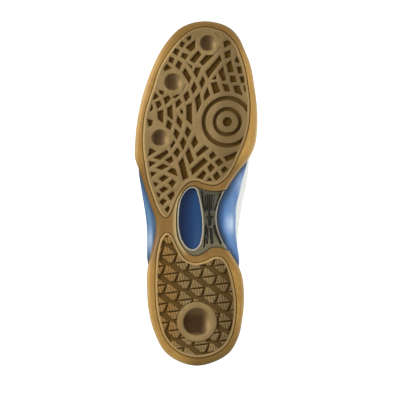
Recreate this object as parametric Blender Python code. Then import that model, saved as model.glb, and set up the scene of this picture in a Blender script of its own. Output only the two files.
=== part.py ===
"""Right handball shoe, lying on its inner side.

The shoe is drawn standing: X runs from heel to toe, +Y is the inner (medial) side, Z is up from the tread.
Lengths are millimetres while drawing. One empty lays the finished shoe on its side.
"""
import math

import bmesh
import bpy
import numpy as np
from mathutils import Euler, Vector

for old in list(bpy.data.objects):
    bpy.data.objects.remove(old, do_unlink=True)

MM = 0.001
UNIT = 0.8526             # one drawing unit in mm, the sole is 346 units long
STATIONS = 30             # stations along the foot in one sole loop
GAP = 0.3                 # mm between pieces that meet
FEATHER_GAP = 0.45        # mm under the edge of the upper

PAD_DEPTH = 3.8           # thickness of a tread pad
RECESS_DEPTH = 2.2        # depth of the tread pattern
PAD_GAP = 0.5             # groove between a tread pad and the rim
RIM_BOTTOM = 0.9          # the rim stands back from the treads by this much
FLOOR_TOP = 6.2           # top of the gum floor
MIDSOLE_BOTTOM = 6.5
INSOLE_THICK = 3.5
INSOLE_GAP = 0.5          # mm under the insole
WALL = 2.0                # wall of the upper
OVERLAY = 0.7             # step of an overlay on the upper
FEATHER_INSET = 2.5       # upper stands this far inside the midsole edge
TONGUE_THICK = 4.0
LACE_WIDTH = 6.0
LACE_THICK = 1.8
LACE_CLEAR = 1.0

ARCH_RISE = 1.8
TOE_SPRING = 14.0
TOE_SPRING_START = 215.0
BEND_CUTS = (*range(92, 168, 18), *range(224, 290, 20))    # mm along, where the bent meshes are cut
SOLE_LENGTH = 295.0

LAY_ANGLES = (-97.752, -3.959, 0.0)      # degrees about X, Y, Z that lay the shoe on its inner side
LAY_SHIFT = (-147.396, -57.748, 39.118)  # mm, puts the origin at the middle of the box, on the floor

# Gum outline in drawing units: along, lateral edge, medial edge
GUM_TIPS = ((0.0, 2.0), (345.5, 10.0))
GUM_SECTIONS = (
    (4, -14, 18), (12, -27, 32), (20, -34, 38), (32, -40, 44), (44, -44, 47), (60, -47, 49),
    (76, -48, 49), (93, -48, 46.5), (105, -46, 40.5), (118, -42.5, 32.5), (132, -39.5, 25.5),
    (146, -39.5, 22.5), (160, -44, 24), (172, -48, 29), (184, -52, 36), (196, -56, 44.5),
    (208, -60, 54.5), (222, -60, 60.5), (240, -58.5, 62.5), (260, -55, 62), (280, -49.5, 59.5),
    (300, -42, 56), (316, -34, 50), (328, -25.5, 44), (337, -16, 36), (342.5, -5, 25),
)
# Midsole outline in drawing units: along, lateral edge, medial edge
MID_TIPS = ((5.5, 2.0), (340.0, 10.0))
MID_SECTIONS = (
    (9, -13, 17), (17, -23.5, 28), (28, -32, 36.5), (42, -38.5, 41.5), (58, -41.8, 43.8),
    (76, -43, 44), (93, -45, 44), (107, -48, 44.5), (120, -48, 42.5), (133, -48, 41),
    (146, -49, 41), (160, -51, 41.5), (172, -53, 44.5), (184, -55, 47), (196, -56.5, 50.5),
    (208, -55.5, 53.5), (222, -54.5, 55), (240, -53, 57), (260, -49.5, 56.5), (280, -44, 54),
    (300, -36.5, 50.5), (314, -29, 45), (325, -20.5, 38), (334, -9, 28),
)
# Heights along the sole in mm: along, top of the midsole, top of the gum wall
SOLE_HEIGHTS = (
    (0, 20.0, 17.0), (55, 20.0, 15.5), (72, 19.6, 11.0), (84, 19.2, 6.4), (110, 18.4, 6.2),
    (150, 16.2, 6.2), (178, 14.8, 6.2), (190, 14.2, 7.6), (205, 13.6, 9.6), (250, 12.6, 10.0),
    (295, 12.4, 11.5),
)
# Side of the gum cup in mm: inset from the edge, height, height counted from the tread or from the wall top
GUM_PROFILE = (
    (8.0, RIM_BOTTOM, "tread"), (2.4, RIM_BOTTOM + 0.2, "tread"), (0.5, 2.6, "tread"), (0.0, 5.0, "tread"),
    (0.5, 5.3, "tread"), (0.7, -0.4, "wall"), (1.5, 0.3, "wall"), (9.0, 0.3, "wall"),
)
# Edges of the two tread pads in drawing units: along, across
FOREFOOT_EDGE = (
    (338.6, 10), (337, 20), (333, 30), (322, 40), (308, 46), (294, 50), (281, 52), (266, 54), (251, 54),
    (238, 52.5), (225, 49), (213, 44), (198, 37), (187, 29), (181.7, 20), (183, 10), (185.8, 2), (184, -7),
    (177, -14), (168, -19), (158, -23), (152.5, -25.5), (149, -29), (153, -34), (169, -41), (186, -46.5),
    (203, -49.5), (219, -51.5), (236, -51.2), (251, -49.5), (264, -46), (276, -42), (297, -35), (314, -25),
    (326, -15), (335, -4),
)
HEEL_EDGE = (
    (132.5, -28), (128, -33), (121, -35.5), (106, -38), (81, -39), (59, -38), (43, -35), (29, -30),
    (18, -21), (11, -9), (9, 4), (12, 18), (20, 30), (33, 37), (48, 40), (63, 40.5), (76, 39), (90, 36),
    (102, 31.5), (108, 26), (108.2, 19), (104, 10), (102.3, -1), (107, -11), (118, -18), (130, -24),
)
# Notch of the gum at the waist, filled by the shank: along, across
NOTCH_EDGE = (
    (168, -14), (158, -17), (146, -18), (133, -17.5), (124, -15), (116, -10), (111, -4), (110, 1), (111.5, 6),
    (114.5, 11), (117.5, 15), (118.8, 20), (118.5, 25), (117, 30), (115, 36), (118, 41), (133, 41),
    (160, 41), (175, 41), (177.5, 36), (175.5, 29), (174.5, 22), (175, 15), (176, 9), (178, 4),
    (180, -1), (179.5, -5), (176.5, -9.5),
)
WINDOW_EDGE = (
    (177, -3.5), (174.5, -8), (166, -12), (152, -15), (138, -15), (126, -12), (118.5, -7), (116.5, -2),
    (120, 3.5), (130, 7), (146, 7.3), (162, 4.8), (173, 1.5),
)
# Grooves under the shank in drawing units: from along, across, to along, across, half width
SHANK_GROOVES = (
    (136, 9.5, 120, 9, 1.4), (136, 14, 123, 16, 1.6), (136, 18.5, 123, 24, 1.8),
    (168, 11, 156, 11, 1.0), (168, 15, 156, 15, 1.0), (168, 19, 156, 19, 1.0),
)
# Round features of the forefoot and heel pads in drawing units: along, across, ring radius, bowl radius
SUCTION_CUPS = ((323, 13, 12, 7.8), (284, -22, 11.5, 8.4), (228, -35, 11, 8.0))
HEEL_CUP = (44, 2, 20, 13.5)
PIVOT = (244, 32.5)
PIVOT_DISC = 30.5
PIVOT_GROOVES = ((0.0, 4.7), (10.7, 14.8), (21.5, 26.0))

# Lattice of the forefoot recesses in mm
CELL_PITCH_ALONG = 15.0
CELL_PITCH_ACROSS = 10.6
CELL_LONG = 6.2
CELL_SHORT = 3.7
CELL_LEAN = 0.10
# Lattice of the heel lug pairs in drawing units: origin and the two steps, along and across
LUG_ORIGIN = (82.0, 27.0)
LUG_STEP_A = (-18.8, 1.4)
LUG_STEP_B = (7.2, -13.3)
LUG_BASE = 5.6            # half of the base of a lug
LUG_HEIGHT = 7.6
LUG_SLOT = 0.7            # half of the slot between the two lugs of a pair
LUG_SLANT = 2.4

# Sections of the upper in mm, from the heel along the lateral side to the toe and back on the medial side:
# side, along, topline (x, y, z), lower handle (bulge, rise), upper handle (reach, drop)
UPPER_ROWS = (
    (0, "heel", 10.0, 1.5, 96.0, 4.0, 26.0, 1.5, 24.0),
    (-1, 13.0, 22.0, -21.5, 91.0, 4.0, 26.0, 1.0, 22.0),
    (-1, 36.0, 45.0, -28.0, 80.0, 3.0, 24.0, 1.0, 18.0),
    (-1, 70.0, 80.0, -29.5, 74.0, 3.0, 22.0, 2.0, 16.0),
    (-1, 106.0, 116.0, -28.0, 95.0, 2.5, 24.0, 9.0, 22.0),
    (-1, 132.0, 138.0, -19.0, 104.0, 2.5, 26.0, 17.0, 14.0),
    (-1, 160.0, 163.0, -16.0, 93.0, 2.5, 24.0, 21.0, 9.0),
    (-1, 192.0, 187.0, -13.0, 82.0, 3.0, 20.0, 25.0, 6.0),
    (-1, 222.0, 201.0, -8.5, 76.0, 3.0, 18.0, 28.0, 5.0),
    (-1, 250.0, 206.5, -4.5, 74.0, 3.0, 18.0, 34.0, 4.5),
    (-1, 270.0, 208.5, -1.5, 73.4, 3.0, 18.0, 40.0, 4.0),
    (0, "toe", 209.0, 1.5, 73.2, 3.0, 20.0, 46.0, 4.0),
    (1, 274.0, 208.5, 4.5, 73.4, 3.0, 18.0, 42.0, 4.0),
    (1, 254.0, 206.5, 7.5, 74.0, 3.0, 18.0, 36.0, 4.5),
    (1, 226.0, 201.0, 11.5, 76.0, 3.5, 18.0, 29.0, 5.0),
    (1, 196.0, 187.0, 16.0, 82.0, 6.0, 20.0, 27.0, 6.0),
    (1, 164.0, 163.0, 19.0, 93.0, 12.0, 24.0, 24.0, 10.0),
    (1, 136.0, 138.0, 22.0, 104.0, 13.0, 26.0, 18.0, 15.0),
    (1, 108.0, 116.0, 28.5, 95.0, 6.5, 24.0, 8.0, 22.0),
    (1, 72.0, 80.0, 30.5, 74.0, 2.5, 22.0, 1.5, 16.0),
    (1, 38.0, 45.0, 29.0, 80.0, 2.0, 24.0, 0.5, 18.0),
    (1, 14.0, 22.0, 22.5, 91.0, 3.5, 26.0, 0.5, 22.0),
)
UPPER_AROUND = 56
UPPER_LEVELS = (0.0, 0.1, 0.24, 0.42, 0.44, 0.56, 0.66, 0.68, 0.8, 0.82, 0.91, 1.0)
LINING_LEVELS = (0.0, 0.1, 0.26, 0.46, 0.66, 0.84, 1.0)
# Overlays of the upper: first and last section row, first and last level
OVERLAY_FIELDS = ((3.7, 9.3, 0.81, 1.1), (13.7, 18.3, 0.81, 1.1), (8.6, 14.4, -0.1, 0.43),
                  (-2.6, 2.6, -0.1, 0.67))
# Tongue sections in mm: along, height of the middle, half width, drop at the edge
TONGUE_ROWS = (
    (216, 66.2, 17, 5.0), (204, 70.7, 21, 7.0), (190, 77.5, 24.5, 9.0), (165, 88.5, 26, 10.5),
    (140, 99.0, 23.5, 10.0), (122, 108.5, 22.5, 9.0), (108, 117.0, 22, 7.5), (101, 121.0, 17, 5.0),
)
EYELET_ROWS = 5
EYELET_LEVEL = 0.9


def closed_curve(points, count):
    """Closed smooth curve through the points, sampled evenly."""
    pts = np.array(points, float)
    n = len(pts)
    dense = []
    for i in range(n):
        p = [pts[(i + k - 1) % n] for k in range(4)]
        t = [0.0]
        for a, b in zip(p, p[1:]):
            t.append(t[-1] + max(1e-6, float(np.hypot(*(b - a))) ** 0.5))
        for s in np.linspace(t[1], t[2], 24, endpoint=False):
            a1 = (t[1] - s) / (t[1] - t[0]) * p[0] + (s - t[0]) / (t[1] - t[0]) * p[1]
            a2 = (t[2] - s) / (t[2] - t[1]) * p[1] + (s - t[1]) / (t[2] - t[1]) * p[2]
            a3 = (t[3] - s) / (t[3] - t[2]) * p[2] + (s - t[2]) / (t[3] - t[2]) * p[3]
            b1 = (t[2] - s) / (t[2] - t[0]) * a1 + (s - t[0]) / (t[2] - t[0]) * a2
            b2 = (t[3] - s) / (t[3] - t[1]) * a2 + (s - t[1]) / (t[3] - t[1]) * a3
            dense.append((t[2] - s) / (t[2] - t[1]) * b1 + (s - t[1]) / (t[2] - t[1]) * b2)
    dense = np.array(dense)
    ring = np.vstack([dense, dense[:1]])
    arc = np.concatenate([[0.0], np.cumsum(np.hypot(*np.diff(ring, axis=0).T))])
    want = np.linspace(0.0, arc[-1], count, endpoint=False)
    return np.column_stack([np.interp(want, arc, ring[:, 0]), np.interp(want, arc, ring[:, 1])])


def turned_left(curve):
    """The same curve, walked counter-clockwise."""
    x, y = curve.T
    area = np.sum(x * np.roll(y, -1) - y * np.roll(x, -1))
    return curve if area > 0 else curve[::-1]


def grown(curve, distance):
    """Counter-clockwise curve moved outward along its normals."""
    step = np.roll(curve, -1, axis=0) - np.roll(curve, 1, axis=0)
    normal = np.column_stack([step[:, 1], -step[:, 0]])
    normal /= np.hypot(*normal.T)[:, None]
    return curve + normal * distance


def outline(tips, sections):
    """Dense counter-clockwise curve of a sole outline in mm."""
    lateral = [(row[0], row[1]) for row in sections]
    medial = [(row[0], row[2]) for row in sections][::-1]
    points = [tips[0]] + lateral + [tips[1]] + medial
    return turned_left(closed_curve(np.array(points, float) * UNIT, 720))


def ladder(curve):
    """Loop of points paired across the foot: heel tip, one side, toe tip, other side."""
    heel = int(np.argmin(curve[:, 0]))
    curve = np.roll(curve, -heel, axis=0)
    toe = int(np.argmax(curve[:, 0]))
    first = curve[:toe + 1]
    second = np.vstack([curve[toe:], curve[:1]])[::-1]
    sweep = (1.0 - np.cos(np.linspace(0.0, math.pi, STATIONS + 1))) / 2.0
    x = curve[0, 0] + (curve[toe, 0] - curve[0, 0]) * sweep
    sides = []
    for side in (first, second):
        rising = np.maximum.accumulate(side[:, 0] + np.arange(len(side)) * 1e-7)
        sides.append(np.column_stack([x, np.interp(x, rising, side[:, 1])]))
    return np.vstack([sides[0], sides[1][1:-1][::-1]])


GUM = outline(GUM_TIPS, GUM_SECTIONS)
MID = outline(MID_TIPS, MID_SECTIONS)


def height(x, column):
    """Height along the sole from the table."""
    table = np.array(SOLE_HEIGHTS, float)
    return np.interp(x, table[:, 0], table[:, column])


def smooth(a, b, x):
    t = np.clip((np.asarray(x, float) - a) / (b - a), 0.0, 1.0)
    return t * t * (3.0 - 2.0 * t)


def base(x):
    """Rise of the whole sole above the ground: arch and toe spring."""
    arch = ARCH_RISE * smooth(84.0, 122.0, x) * (1.0 - smooth(128.0, 168.0, x))
    run = np.clip((np.asarray(x, float) - TOE_SPRING_START) / (SOLE_LENGTH - TOE_SPRING_START), 0.0, 2.0)
    return arch + TOE_SPRING * run ** 1.8


def material(name, colour, roughness):
    mat = bpy.data.materials.new(name)
    mat.use_nodes = True
    shader = mat.node_tree.nodes["Principled BSDF"]
    shader.inputs["Base Color"].default_value = (*colour, 1.0)
    shader.inputs["Roughness"].default_value = roughness
    return mat


def new_object(name, bm):
    mesh = bpy.data.meshes.new(name)
    bm.to_mesh(mesh)
    bm.free()
    ob = bpy.data.objects.new(name, mesh)
    bpy.context.scene.collection.objects.link(ob)
    return ob


def loft(loops, ring=False, paired=False):
    """Mesh of stacked loops. A ring joins the last loop to the first; else both ends are closed."""
    bm = bmesh.new()
    rows = [[bm.verts.new(p) for p in loop] for loop in loops]
    n = len(rows[0])
    pairs = list(zip(rows, rows[1:]))
    if ring:
        pairs.append((rows[-1], rows[0]))
    for low, high in pairs:
        for i in range(n):
            j = (i + 1) % n
            bm.faces.new((low[i], low[j], high[j], high[i]))
    if not ring:
        for row in (rows[0][::-1], rows[-1]):
            if not paired:
                bm.faces.new(row)
                continue
            for i in range(n // 2):
                quad = [row[i], row[i + 1], row[-i - 1], row[-i]]
                bm.faces.new(list(dict.fromkeys(quad)))
    bmesh.ops.recalc_face_normals(bm, faces=bm.faces)
    return bm


def level(curve, z):
    return np.column_stack([curve, np.broadcast_to(z, len(curve))])


def prism(name, curve, low, high):
    return new_object(name, loft([level(curve, low), level(curve, high)]))


def combine(target, tools, operation):
    """Exact Boolean of the target with each tool; the tools are used up."""
    for tool in tools:
        mod = target.modifiers.new(operation.lower(), "BOOLEAN")
        mod.operation = operation
        mod.solver = "EXACT"
        mod.object = tool
        bpy.context.view_layer.update()
        graph = bpy.context.evaluated_depsgraph_get()
        mesh = bpy.data.meshes.new_from_object(target.evaluated_get(graph))
        target.modifiers.clear()
        target.data = mesh
        bpy.data.objects.remove(tool, do_unlink=True)


def bent(ob, stations=()):
    """Cuts the mesh at the stations, makes triangles and follows the arch and the toe spring."""
    bm = bmesh.new()
    bm.from_mesh(ob.data)
    for x in stations:
        bmesh.ops.bisect_plane(bm, geom=bm.verts[:] + bm.edges[:] + bm.faces[:], dist=1e-5,
                               plane_co=(x, 0.0, 0.0), plane_no=(1.0, 0.0, 0.0))
    bmesh.ops.triangulate(bm, faces=bm.faces)
    for v in bm.verts:
        v.co.z += float(base(v.co.x))
    bm.to_mesh(ob.data)
    bm.free()


def split(ob):
    """Makes triangles of all faces."""
    bm = bmesh.new()
    bm.from_mesh(ob.data)
    bmesh.ops.triangulate(bm, faces=bm.faces)
    bm.to_mesh(ob.data)
    bm.free()


def circle(centre, radius, count):
    angle = np.arange(count) * 2.0 * math.pi / count
    return np.column_stack([centre[0] + radius * np.cos(angle), centre[1] + radius * np.sin(angle)])


def bowl(name, centre, radius, depth):
    """Round tool that presses a shallow bowl into the face at z = 0."""
    rings = [level(circle(centre, radius, 24), -1.0)]
    for part in (1.0, 0.8, 0.5, 0.2):
        rings.append(level(circle(centre, radius * part, 24), depth * (1.0 - part * part)))
    return new_object(name, loft(rings))


def inside(point, curve):
    x, y = point
    a = curve
    b = np.roll(curve, -1, axis=0)
    crosses = (a[:, 1] > y) != (b[:, 1] > y)
    where = a[:, 0] + (y - a[:, 1]) / np.where(crosses, b[:, 1] - a[:, 1], 1.0) * (b[:, 0] - a[:, 0])
    return bool(np.sum(crosses & (x < where)) % 2)


def many(name, polygons, low, high):
    """One object of separate upright prisms."""
    bm = bmesh.new()
    for polygon in polygons:
        bottom = [bm.verts.new((x, y, low)) for x, y in polygon]
        top = [bm.verts.new((x, y, high)) for x, y in polygon]
        n = len(polygon)
        bm.faces.new(bottom[::-1])
        bm.faces.new(top)
        for i in range(n):
            j = (i + 1) % n
            bm.faces.new((bottom[i], bottom[j], top[j], top[i]))
    bmesh.ops.recalc_face_normals(bm, faces=bm.faces)
    return new_object(name, bm)


def scaled(rows):
    return [tuple(value * UNIT for value in row) for row in rows]


FOREFOOT = turned_left(closed_curve(np.array(FOREFOOT_EDGE, float) * UNIT, 60))
HEEL = turned_left(closed_curve(np.array(HEEL_EDGE, float) * UNIT, 46))
NOTCH = turned_left(closed_curve(np.array(NOTCH_EDGE, float) * UNIT, 44))
WINDOW = turned_left(closed_curve(np.array(WINDOW_EDGE, float) * UNIT, 24))


def build_midsole(name, grow, cavity):
    """Foam body with a rounded, bulging side; grown and open upward it serves as the tool for the gum cup."""
    loops = []
    for inset, part in ((2.0, 0.0), (0.5, 0.12), (0.0, 0.35), (0.0, 0.6), (0.8, 0.88), (2.0, 1.0)):
        if cavity and part > 0.6:
            inset, part = 0.0, part * 2.0
        loop = ladder(grown(MID, grow - inset))
        top = height(loop[:, 0], 1)
        z = MIDSOLE_BOTTOM + (top - MIDSOLE_BOTTOM) * part
        loops.append(level(loop, z - grow if part == 0.0 else z))
    return new_object(name, loft(loops, paired=True))


def build_outsole():
    loops = []
    for inset, z, datum in GUM_PROFILE:
        loop = ladder(grown(GUM, -inset))
        top = height(loop[:, 0], 2) if datum == "wall" else 0.0
        loops.append(level(loop, z + top))
    ob = new_object("outsole", loft(loops, paired=True))
    seat = PAD_DEPTH + GAP
    combine(ob, [prism("seat_f", grown(FOREFOOT, PAD_GAP), -2.0, seat),
                 prism("seat_h", grown(HEEL, PAD_GAP), -2.0, seat),
                 prism("notch", grown(NOTCH, GAP), -2.0, 30.0),
                 build_midsole("cavity", GAP, True)], "DIFFERENCE")
    bent(ob, BEND_CUTS)
    return ob


def build_forefoot_tread():
    ob = prism("forefoot_tread", FOREFOOT, 0.0, PAD_DEPTH)
    cups = scaled(SUCTION_CUPS)
    pivot = np.array(PIVOT) * UNIT
    disc = PIVOT_DISC * UNIT
    rim = grown(FOREFOOT, -3.4)
    cells = []
    for i in range(-14, 15):
        for j in range(-14, 15):
            if (i + j) % 2:
                continue
            x = 210.0 + i * CELL_PITCH_ALONG / 2
            y = j * CELL_PITCH_ACROSS / 2 + CELL_LEAN * (x - 210.0)
            cell = [(x + CELL_LONG, y + CELL_LEAN * CELL_LONG), (x, y + CELL_SHORT),
                    (x - CELL_LONG, y - CELL_LEAN * CELL_LONG), (x, y - CELL_SHORT)]
            clear = all(inside(p, rim) for p in cell)
            clear &= min(math.dist(p, pivot) for p in cell) > disc
            clear &= all(min(math.dist(p, c[:2]) for p in cell + [(x, y)]) > c[2] + 0.6 for c in cups)
            if clear:
                cells.append(cell)
    combine(ob, [many("cells", cells, -2.0, RECESS_DEPTH)], "DIFFERENCE")
    tools = [bowl("bowl", c[:2], c[3], RECESS_DEPTH) for c in cups]
    for low, high in PIVOT_GROOVES:
        outer_ring = circle(pivot, high * UNIT, 32)
        if low == 0.0:
            tools.append(prism("dot", outer_ring, -2.0, RECESS_DEPTH))
            continue
        inner_ring = circle(pivot, low * UNIT, 32)
        band = [level(inner_ring, -2.0), level(outer_ring, -2.0), level(outer_ring, RECESS_DEPTH),
                level(inner_ring, RECESS_DEPTH)]
        tools.append(new_object("band", loft(band, ring=True)))
    combine(ob, tools, "DIFFERENCE")
    bent(ob, BEND_CUTS)
    return ob


def build_heel_tread():
    ob = prism("heel_tread", HEEL, 0.0, PAD_DEPTH)
    cup = [value * UNIT for value in HEEL_CUP]
    field = grown(HEEL, -2.6)
    combine(ob, [prism("field", field, -2.0, RECESS_DEPTH)], "DIFFERENCE")
    lugs = []
    keep = grown(HEEL, -3.4)
    origin, step_a, step_b = (np.array(v) * UNIT for v in (LUG_ORIGIN, LUG_STEP_A, LUG_STEP_B))
    for i in range(-3, 8):
        for j in range(-3, 8):
            centre = origin + i * step_a + j * step_b
            for way in (1, -1):
                foot = centre + np.array((LUG_SLOT * way * UNIT, 0.0))
                across = np.array((0.8, LUG_BASE)) * UNIT
                tip = foot + np.array((LUG_HEIGHT, -LUG_SLANT)) * UNIT * way
                lug = [foot - across, foot + across, tip]
                clear = all(inside(p, keep) for p in lug)
                clear &= min(math.dist(p, cup[:2]) for p in lug + [sum(lug) / 3.0]) > cup[2] + 0.8
                if clear:
                    lugs.append(lug if way > 0 else lug[::-1])
    ring = prism("cup_ring", circle(cup[:2], cup[2], 32), 0.0, RECESS_DEPTH + 0.6)
    combine(ob, [many("lugs", lugs, 0.0, RECESS_DEPTH + 0.6), ring], "UNION")
    combine(ob, [bowl("bowl", cup[:2], cup[3], RECESS_DEPTH)], "DIFFERENCE")
    bent(ob, BEND_CUTS)
    return ob


def build_shank():
    body = prism("shank", grown(NOTCH, -GAP / 2), 2.2, FLOOR_TOP)
    outer = prism("trim", grown(GUM[::6], -0.8), -5.0, 20.0)
    combine(body, [outer], "INTERSECT")
    grooves = []
    for x0, y0, x1, y1, half in SHANK_GROOVES:
        grooves.append([(x0 * UNIT, (y0 - half) * UNIT), (x0 * UNIT, (y0 + half) * UNIT),
                        (x1 * UNIT, (y1 + half) * UNIT), (x1 * UNIT, (y1 - half) * UNIT)])
    combine(body, [prism("window", WINDOW, -2.0, 20.0), many("grooves", grooves, -2.0, 3.8)], "DIFFERENCE")
    bent(body, BEND_CUTS)
    return body


def feather_loop(side, along):
    """Point on the feather line and the outward direction there."""
    curve = grown(MID, -FEATHER_INSET)
    step = np.roll(curve, -1, axis=0) - np.roll(curve, 1, axis=0)
    normal = np.column_stack([step[:, 1], -step[:, 0]])
    normal /= np.hypot(*normal.T)[:, None]
    if along == "heel":
        k = int(np.argmin(curve[:, 0]))
    elif along == "toe":
        k = int(np.argmax(curve[:, 0]))
    else:
        heel = int(np.argmin(curve[:, 0]))
        toe = int(np.argmax(curve[:, 0]))
        axis = np.interp(curve[:, 0], (curve[heel, 0], curve[toe, 0]), (curve[heel, 1], curve[toe, 1]))
        on_side = (curve[:, 1] - axis) * side > 0
        k = int(np.argmin(np.where(on_side, np.abs(curve[:, 0] - along), 1e9)))
    return curve[k], normal[k]


def upper_nodes():
    """Control points of every section: feather, lower handle, upper handle, topline."""
    nodes = []
    for side, along, tx, ty, tz, bulge, rise, reach, drop in UPPER_ROWS:
        foot, out = feather_loop(side, along)
        z = float(height(foot[0], 1) + base(foot[0])) + FEATHER_GAP
        lower = foot + out * bulge
        upper = np.array((tx, ty)) + out * reach
        nodes.append([(*foot, z), (*lower, z + rise), (*upper, tz - drop), (tx, ty, tz)])
    return np.array(nodes)


NODES = upper_nodes()


def section(u):
    """Control points of the section at row position u, between the rows."""
    n = len(NODES)
    i = math.floor(u)
    t = u - i
    p0, p1, p2, p3 = (NODES[(i + k) % n] for k in (-1, 0, 1, 2))
    return 0.5 * (2 * p1 + (p2 - p0) * t + (2 * p0 - 5 * p1 + 4 * p2 - p3) * t * t
                  + (3 * p1 - p0 - 3 * p2 + p3) * t ** 3)


def shell(u, v):
    """Point of the outer face of the upper."""
    a, b, c, d = section(u)
    s = 1.0 - v
    return a * s ** 3 + b * 3 * s * s * v + c * 3 * s * v * v + d * v ** 3


def shell_normal(u, v):
    low, high = max(0.0, v - 0.02), min(1.0, v + 0.02)
    n = np.cross(shell(u + 0.05, v) - shell(u - 0.05, v), shell(u, high) - shell(u, low))
    n = n / np.linalg.norm(n)
    return n


NORMAL_SIGN = 1.0 if shell_normal(0.0, 0.2)[0] < 0 else -1.0


def overlay(u, v):
    """Step of the wall where an overlay lies."""
    n = len(NODES)
    for u0, u1, v0, v1 in OVERLAY_FIELDS:
        if any(u0 < w < u1 for w in (u, u - n, u + n)) and v0 < v < v1:
            return OVERLAY
    return 0.0


def shell_face(u, v, out):
    return shell(u, v) + NORMAL_SIGN * shell_normal(u, v) * out


def build_upper():
    around = np.arange(UPPER_AROUND) * len(NODES) / UPPER_AROUND
    outer, inner = [], []
    for v in UPPER_LEVELS:
        outer.append([shell_face(u, v, overlay(u, v)) for u in around])
    for v in LINING_LEVELS:
        inner.append([shell_face(u, v, -WALL) for u in around])
    for p in outer[0] + inner[0]:
        p[2] = float(height(p[0], 1) + base(p[0])) + FEATHER_GAP
    ob = new_object("upper", loft(outer + inner[::-1], ring=True))
    split(ob)
    return ob


def build_insole():
    loops = []
    for inset, z in ((7.0, INSOLE_GAP), (6.2, 1.2), (6.2, INSOLE_THICK - 0.6), (7.0, INSOLE_THICK)):
        loop = ladder(grown(MID, -inset))
        loops.append(level(loop, height(loop[:, 0], 1) + z))
    ob = new_object("insole", loft(loops, paired=True))
    bent(ob)
    return ob


def build_tongue():
    rows = np.array(TONGUE_ROWS, float)
    along = np.linspace(0.0, len(rows) - 1.0, 15)
    table = np.column_stack([np.interp(along, np.arange(len(rows)), rows[:, k]) for k in range(4)])
    across = np.linspace(-1.0, 1.0, 9)
    loops = []
    for k, (x, z, half, drop) in enumerate(table):
        ahead = table[min(k + 1, len(table) - 1)] - table[max(k - 1, 0)]
        up = np.array((-ahead[1], 0.0, ahead[0]))
        up *= -TONGUE_THICK / 2.0 / np.linalg.norm(up)
        mid = [np.array((x, 1.5 + s * half, z - drop * s * s)) for s in across]
        thin = [1.0 - 0.45 * s ** 4 for s in across]
        loops.append([m + up * f for m, f in zip(mid, thin)] + [m - up * f for m, f in zip(mid, thin)][::-1])
    ob = new_object("tongue", loft(loops))
    split(ob)
    return ob


def lace_run(name, u_lateral, u_medial, lift):
    """Flat strap from a lateral eyelet to a medial one, over both throat edges and the tongue."""
    slide = (u_medial - 11.0) - (11.0 - u_lateral)
    out = OVERLAY + LACE_THICK / 2 + LACE_CLEAR
    stops = ((u_lateral, EYELET_LEVEL), (u_lateral - 0.2 * slide, 1.0),
             (u_medial - 0.2 * slide, 1.0), (u_medial, EYELET_LEVEL))
    points = [shell_face(u, v, out) for u, v in stops]
    faces = [NORMAL_SIGN * shell_normal(u, v) for u, v in stops]
    points.insert(2, (points[1] + points[2]) / 2 + np.array((0.0, 0.0, lift)))
    faces.insert(2, (faces[1] + faces[2]) / 2)
    knots = np.arange(5.0)
    places = np.linspace(0.0, 4.0, 7)
    path = np.array([smooth_pass(points, t) for t in places])
    ups = np.column_stack([np.interp(places, knots, np.array(faces)[:, k]) for k in range(3)])
    loops = []
    for k, (p, up) in enumerate(zip(path, ups)):
        run = path[min(k + 1, 6)] - path[max(k - 1, 0)]
        run /= np.linalg.norm(run)
        side = np.cross(run, up)
        side /= np.linalg.norm(side)
        up = np.cross(side, run)
        loop = []
        for a in range(6):
            angle = math.pi * a / 3
            loop.append(p + side * LACE_WIDTH / 2 * math.cos(angle) + up * LACE_THICK / 2 * math.sin(angle))
        loops.append(loop)
    return new_object(name, loft(loops))


def smooth_pass(points, t):
    """Point on the open smooth curve through the points at knot position t."""
    n = len(points)
    i = min(int(t), n - 2)
    f = t - i
    p0, p1, p2, p3 = (points[min(max(i + k, 0), n - 1)] for k in (-1, 0, 1, 2))
    return 0.5 * (2 * p1 + (p2 - p0) * f + (2 * p0 - 5 * p1 + 4 * p2 - p3) * f * f
                  + (3 * p1 - p0 - 3 * p2 + p3) * f ** 3)


def build_laces():
    lateral = [7.6 - 2.5 * k / (EYELET_ROWS - 1) for k in range(EYELET_ROWS)]
    medial = [14.4 + 2.5 * k / (EYELET_ROWS - 1) for k in range(EYELET_ROWS)]
    ob = lace_run("laces", lateral[0], medial[0], 1.0)
    runs = []
    for k in range(EYELET_ROWS - 1):
        runs.append(lace_run("cross", lateral[k], medial[k + 1], 1.0))
        runs.append(lace_run("cross", lateral[k + 1], medial[k], 2.0))
    combine(ob, runs, "UNION")
    split(ob)
    return ob


def build_shoe():
    gum = (0.36, 0.22, 0.06)
    blue = (0.12, 0.28, 0.52)
    parts = [
        (build_outsole(), material("gum rubber", gum, 0.55)),
        (build_forefoot_tread(), material("gum tread rubber", (0.26, 0.18, 0.07), 0.6)),
        (build_heel_tread(), material("gum tread rubber heel", (0.26, 0.18, 0.07), 0.6)),
        (build_shank(), material("moulded shank", (0.20, 0.19, 0.15), 0.45)),
        (build_midsole("midsole", 0.0, False), material("moulded foam", blue, 0.35)),
        (build_upper(), material("synthetic leather", (0.80, 0.80, 0.78), 0.5)),
        (build_tongue(), material("padded cloth", (0.75, 0.75, 0.74), 0.8)),
        (build_insole(), material("insole cloth", (0.08, 0.12, 0.22), 0.9)),
        (build_laces(), material("woven lace", (0.82, 0.82, 0.80), 0.9)),
    ]
    bent(parts[4][0], BEND_CUTS)
    lay = bpy.data.objects.new("lay", None)
    bpy.context.scene.collection.objects.link(lay)
    lay.rotation_euler = Euler([math.radians(a) for a in LAY_ANGLES])
    lay.location = Vector(LAY_SHIFT) * MM
    for ob, mat in parts:
        for v in ob.data.vertices:
            v.co *= MM
        ob.data.shade_smooth()
        ob.data.set_sharp_from_angle(angle=math.radians(35.0))
        ob.data.materials.clear()
        ob.data.materials.append(mat)
        ob.parent = lay


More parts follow.
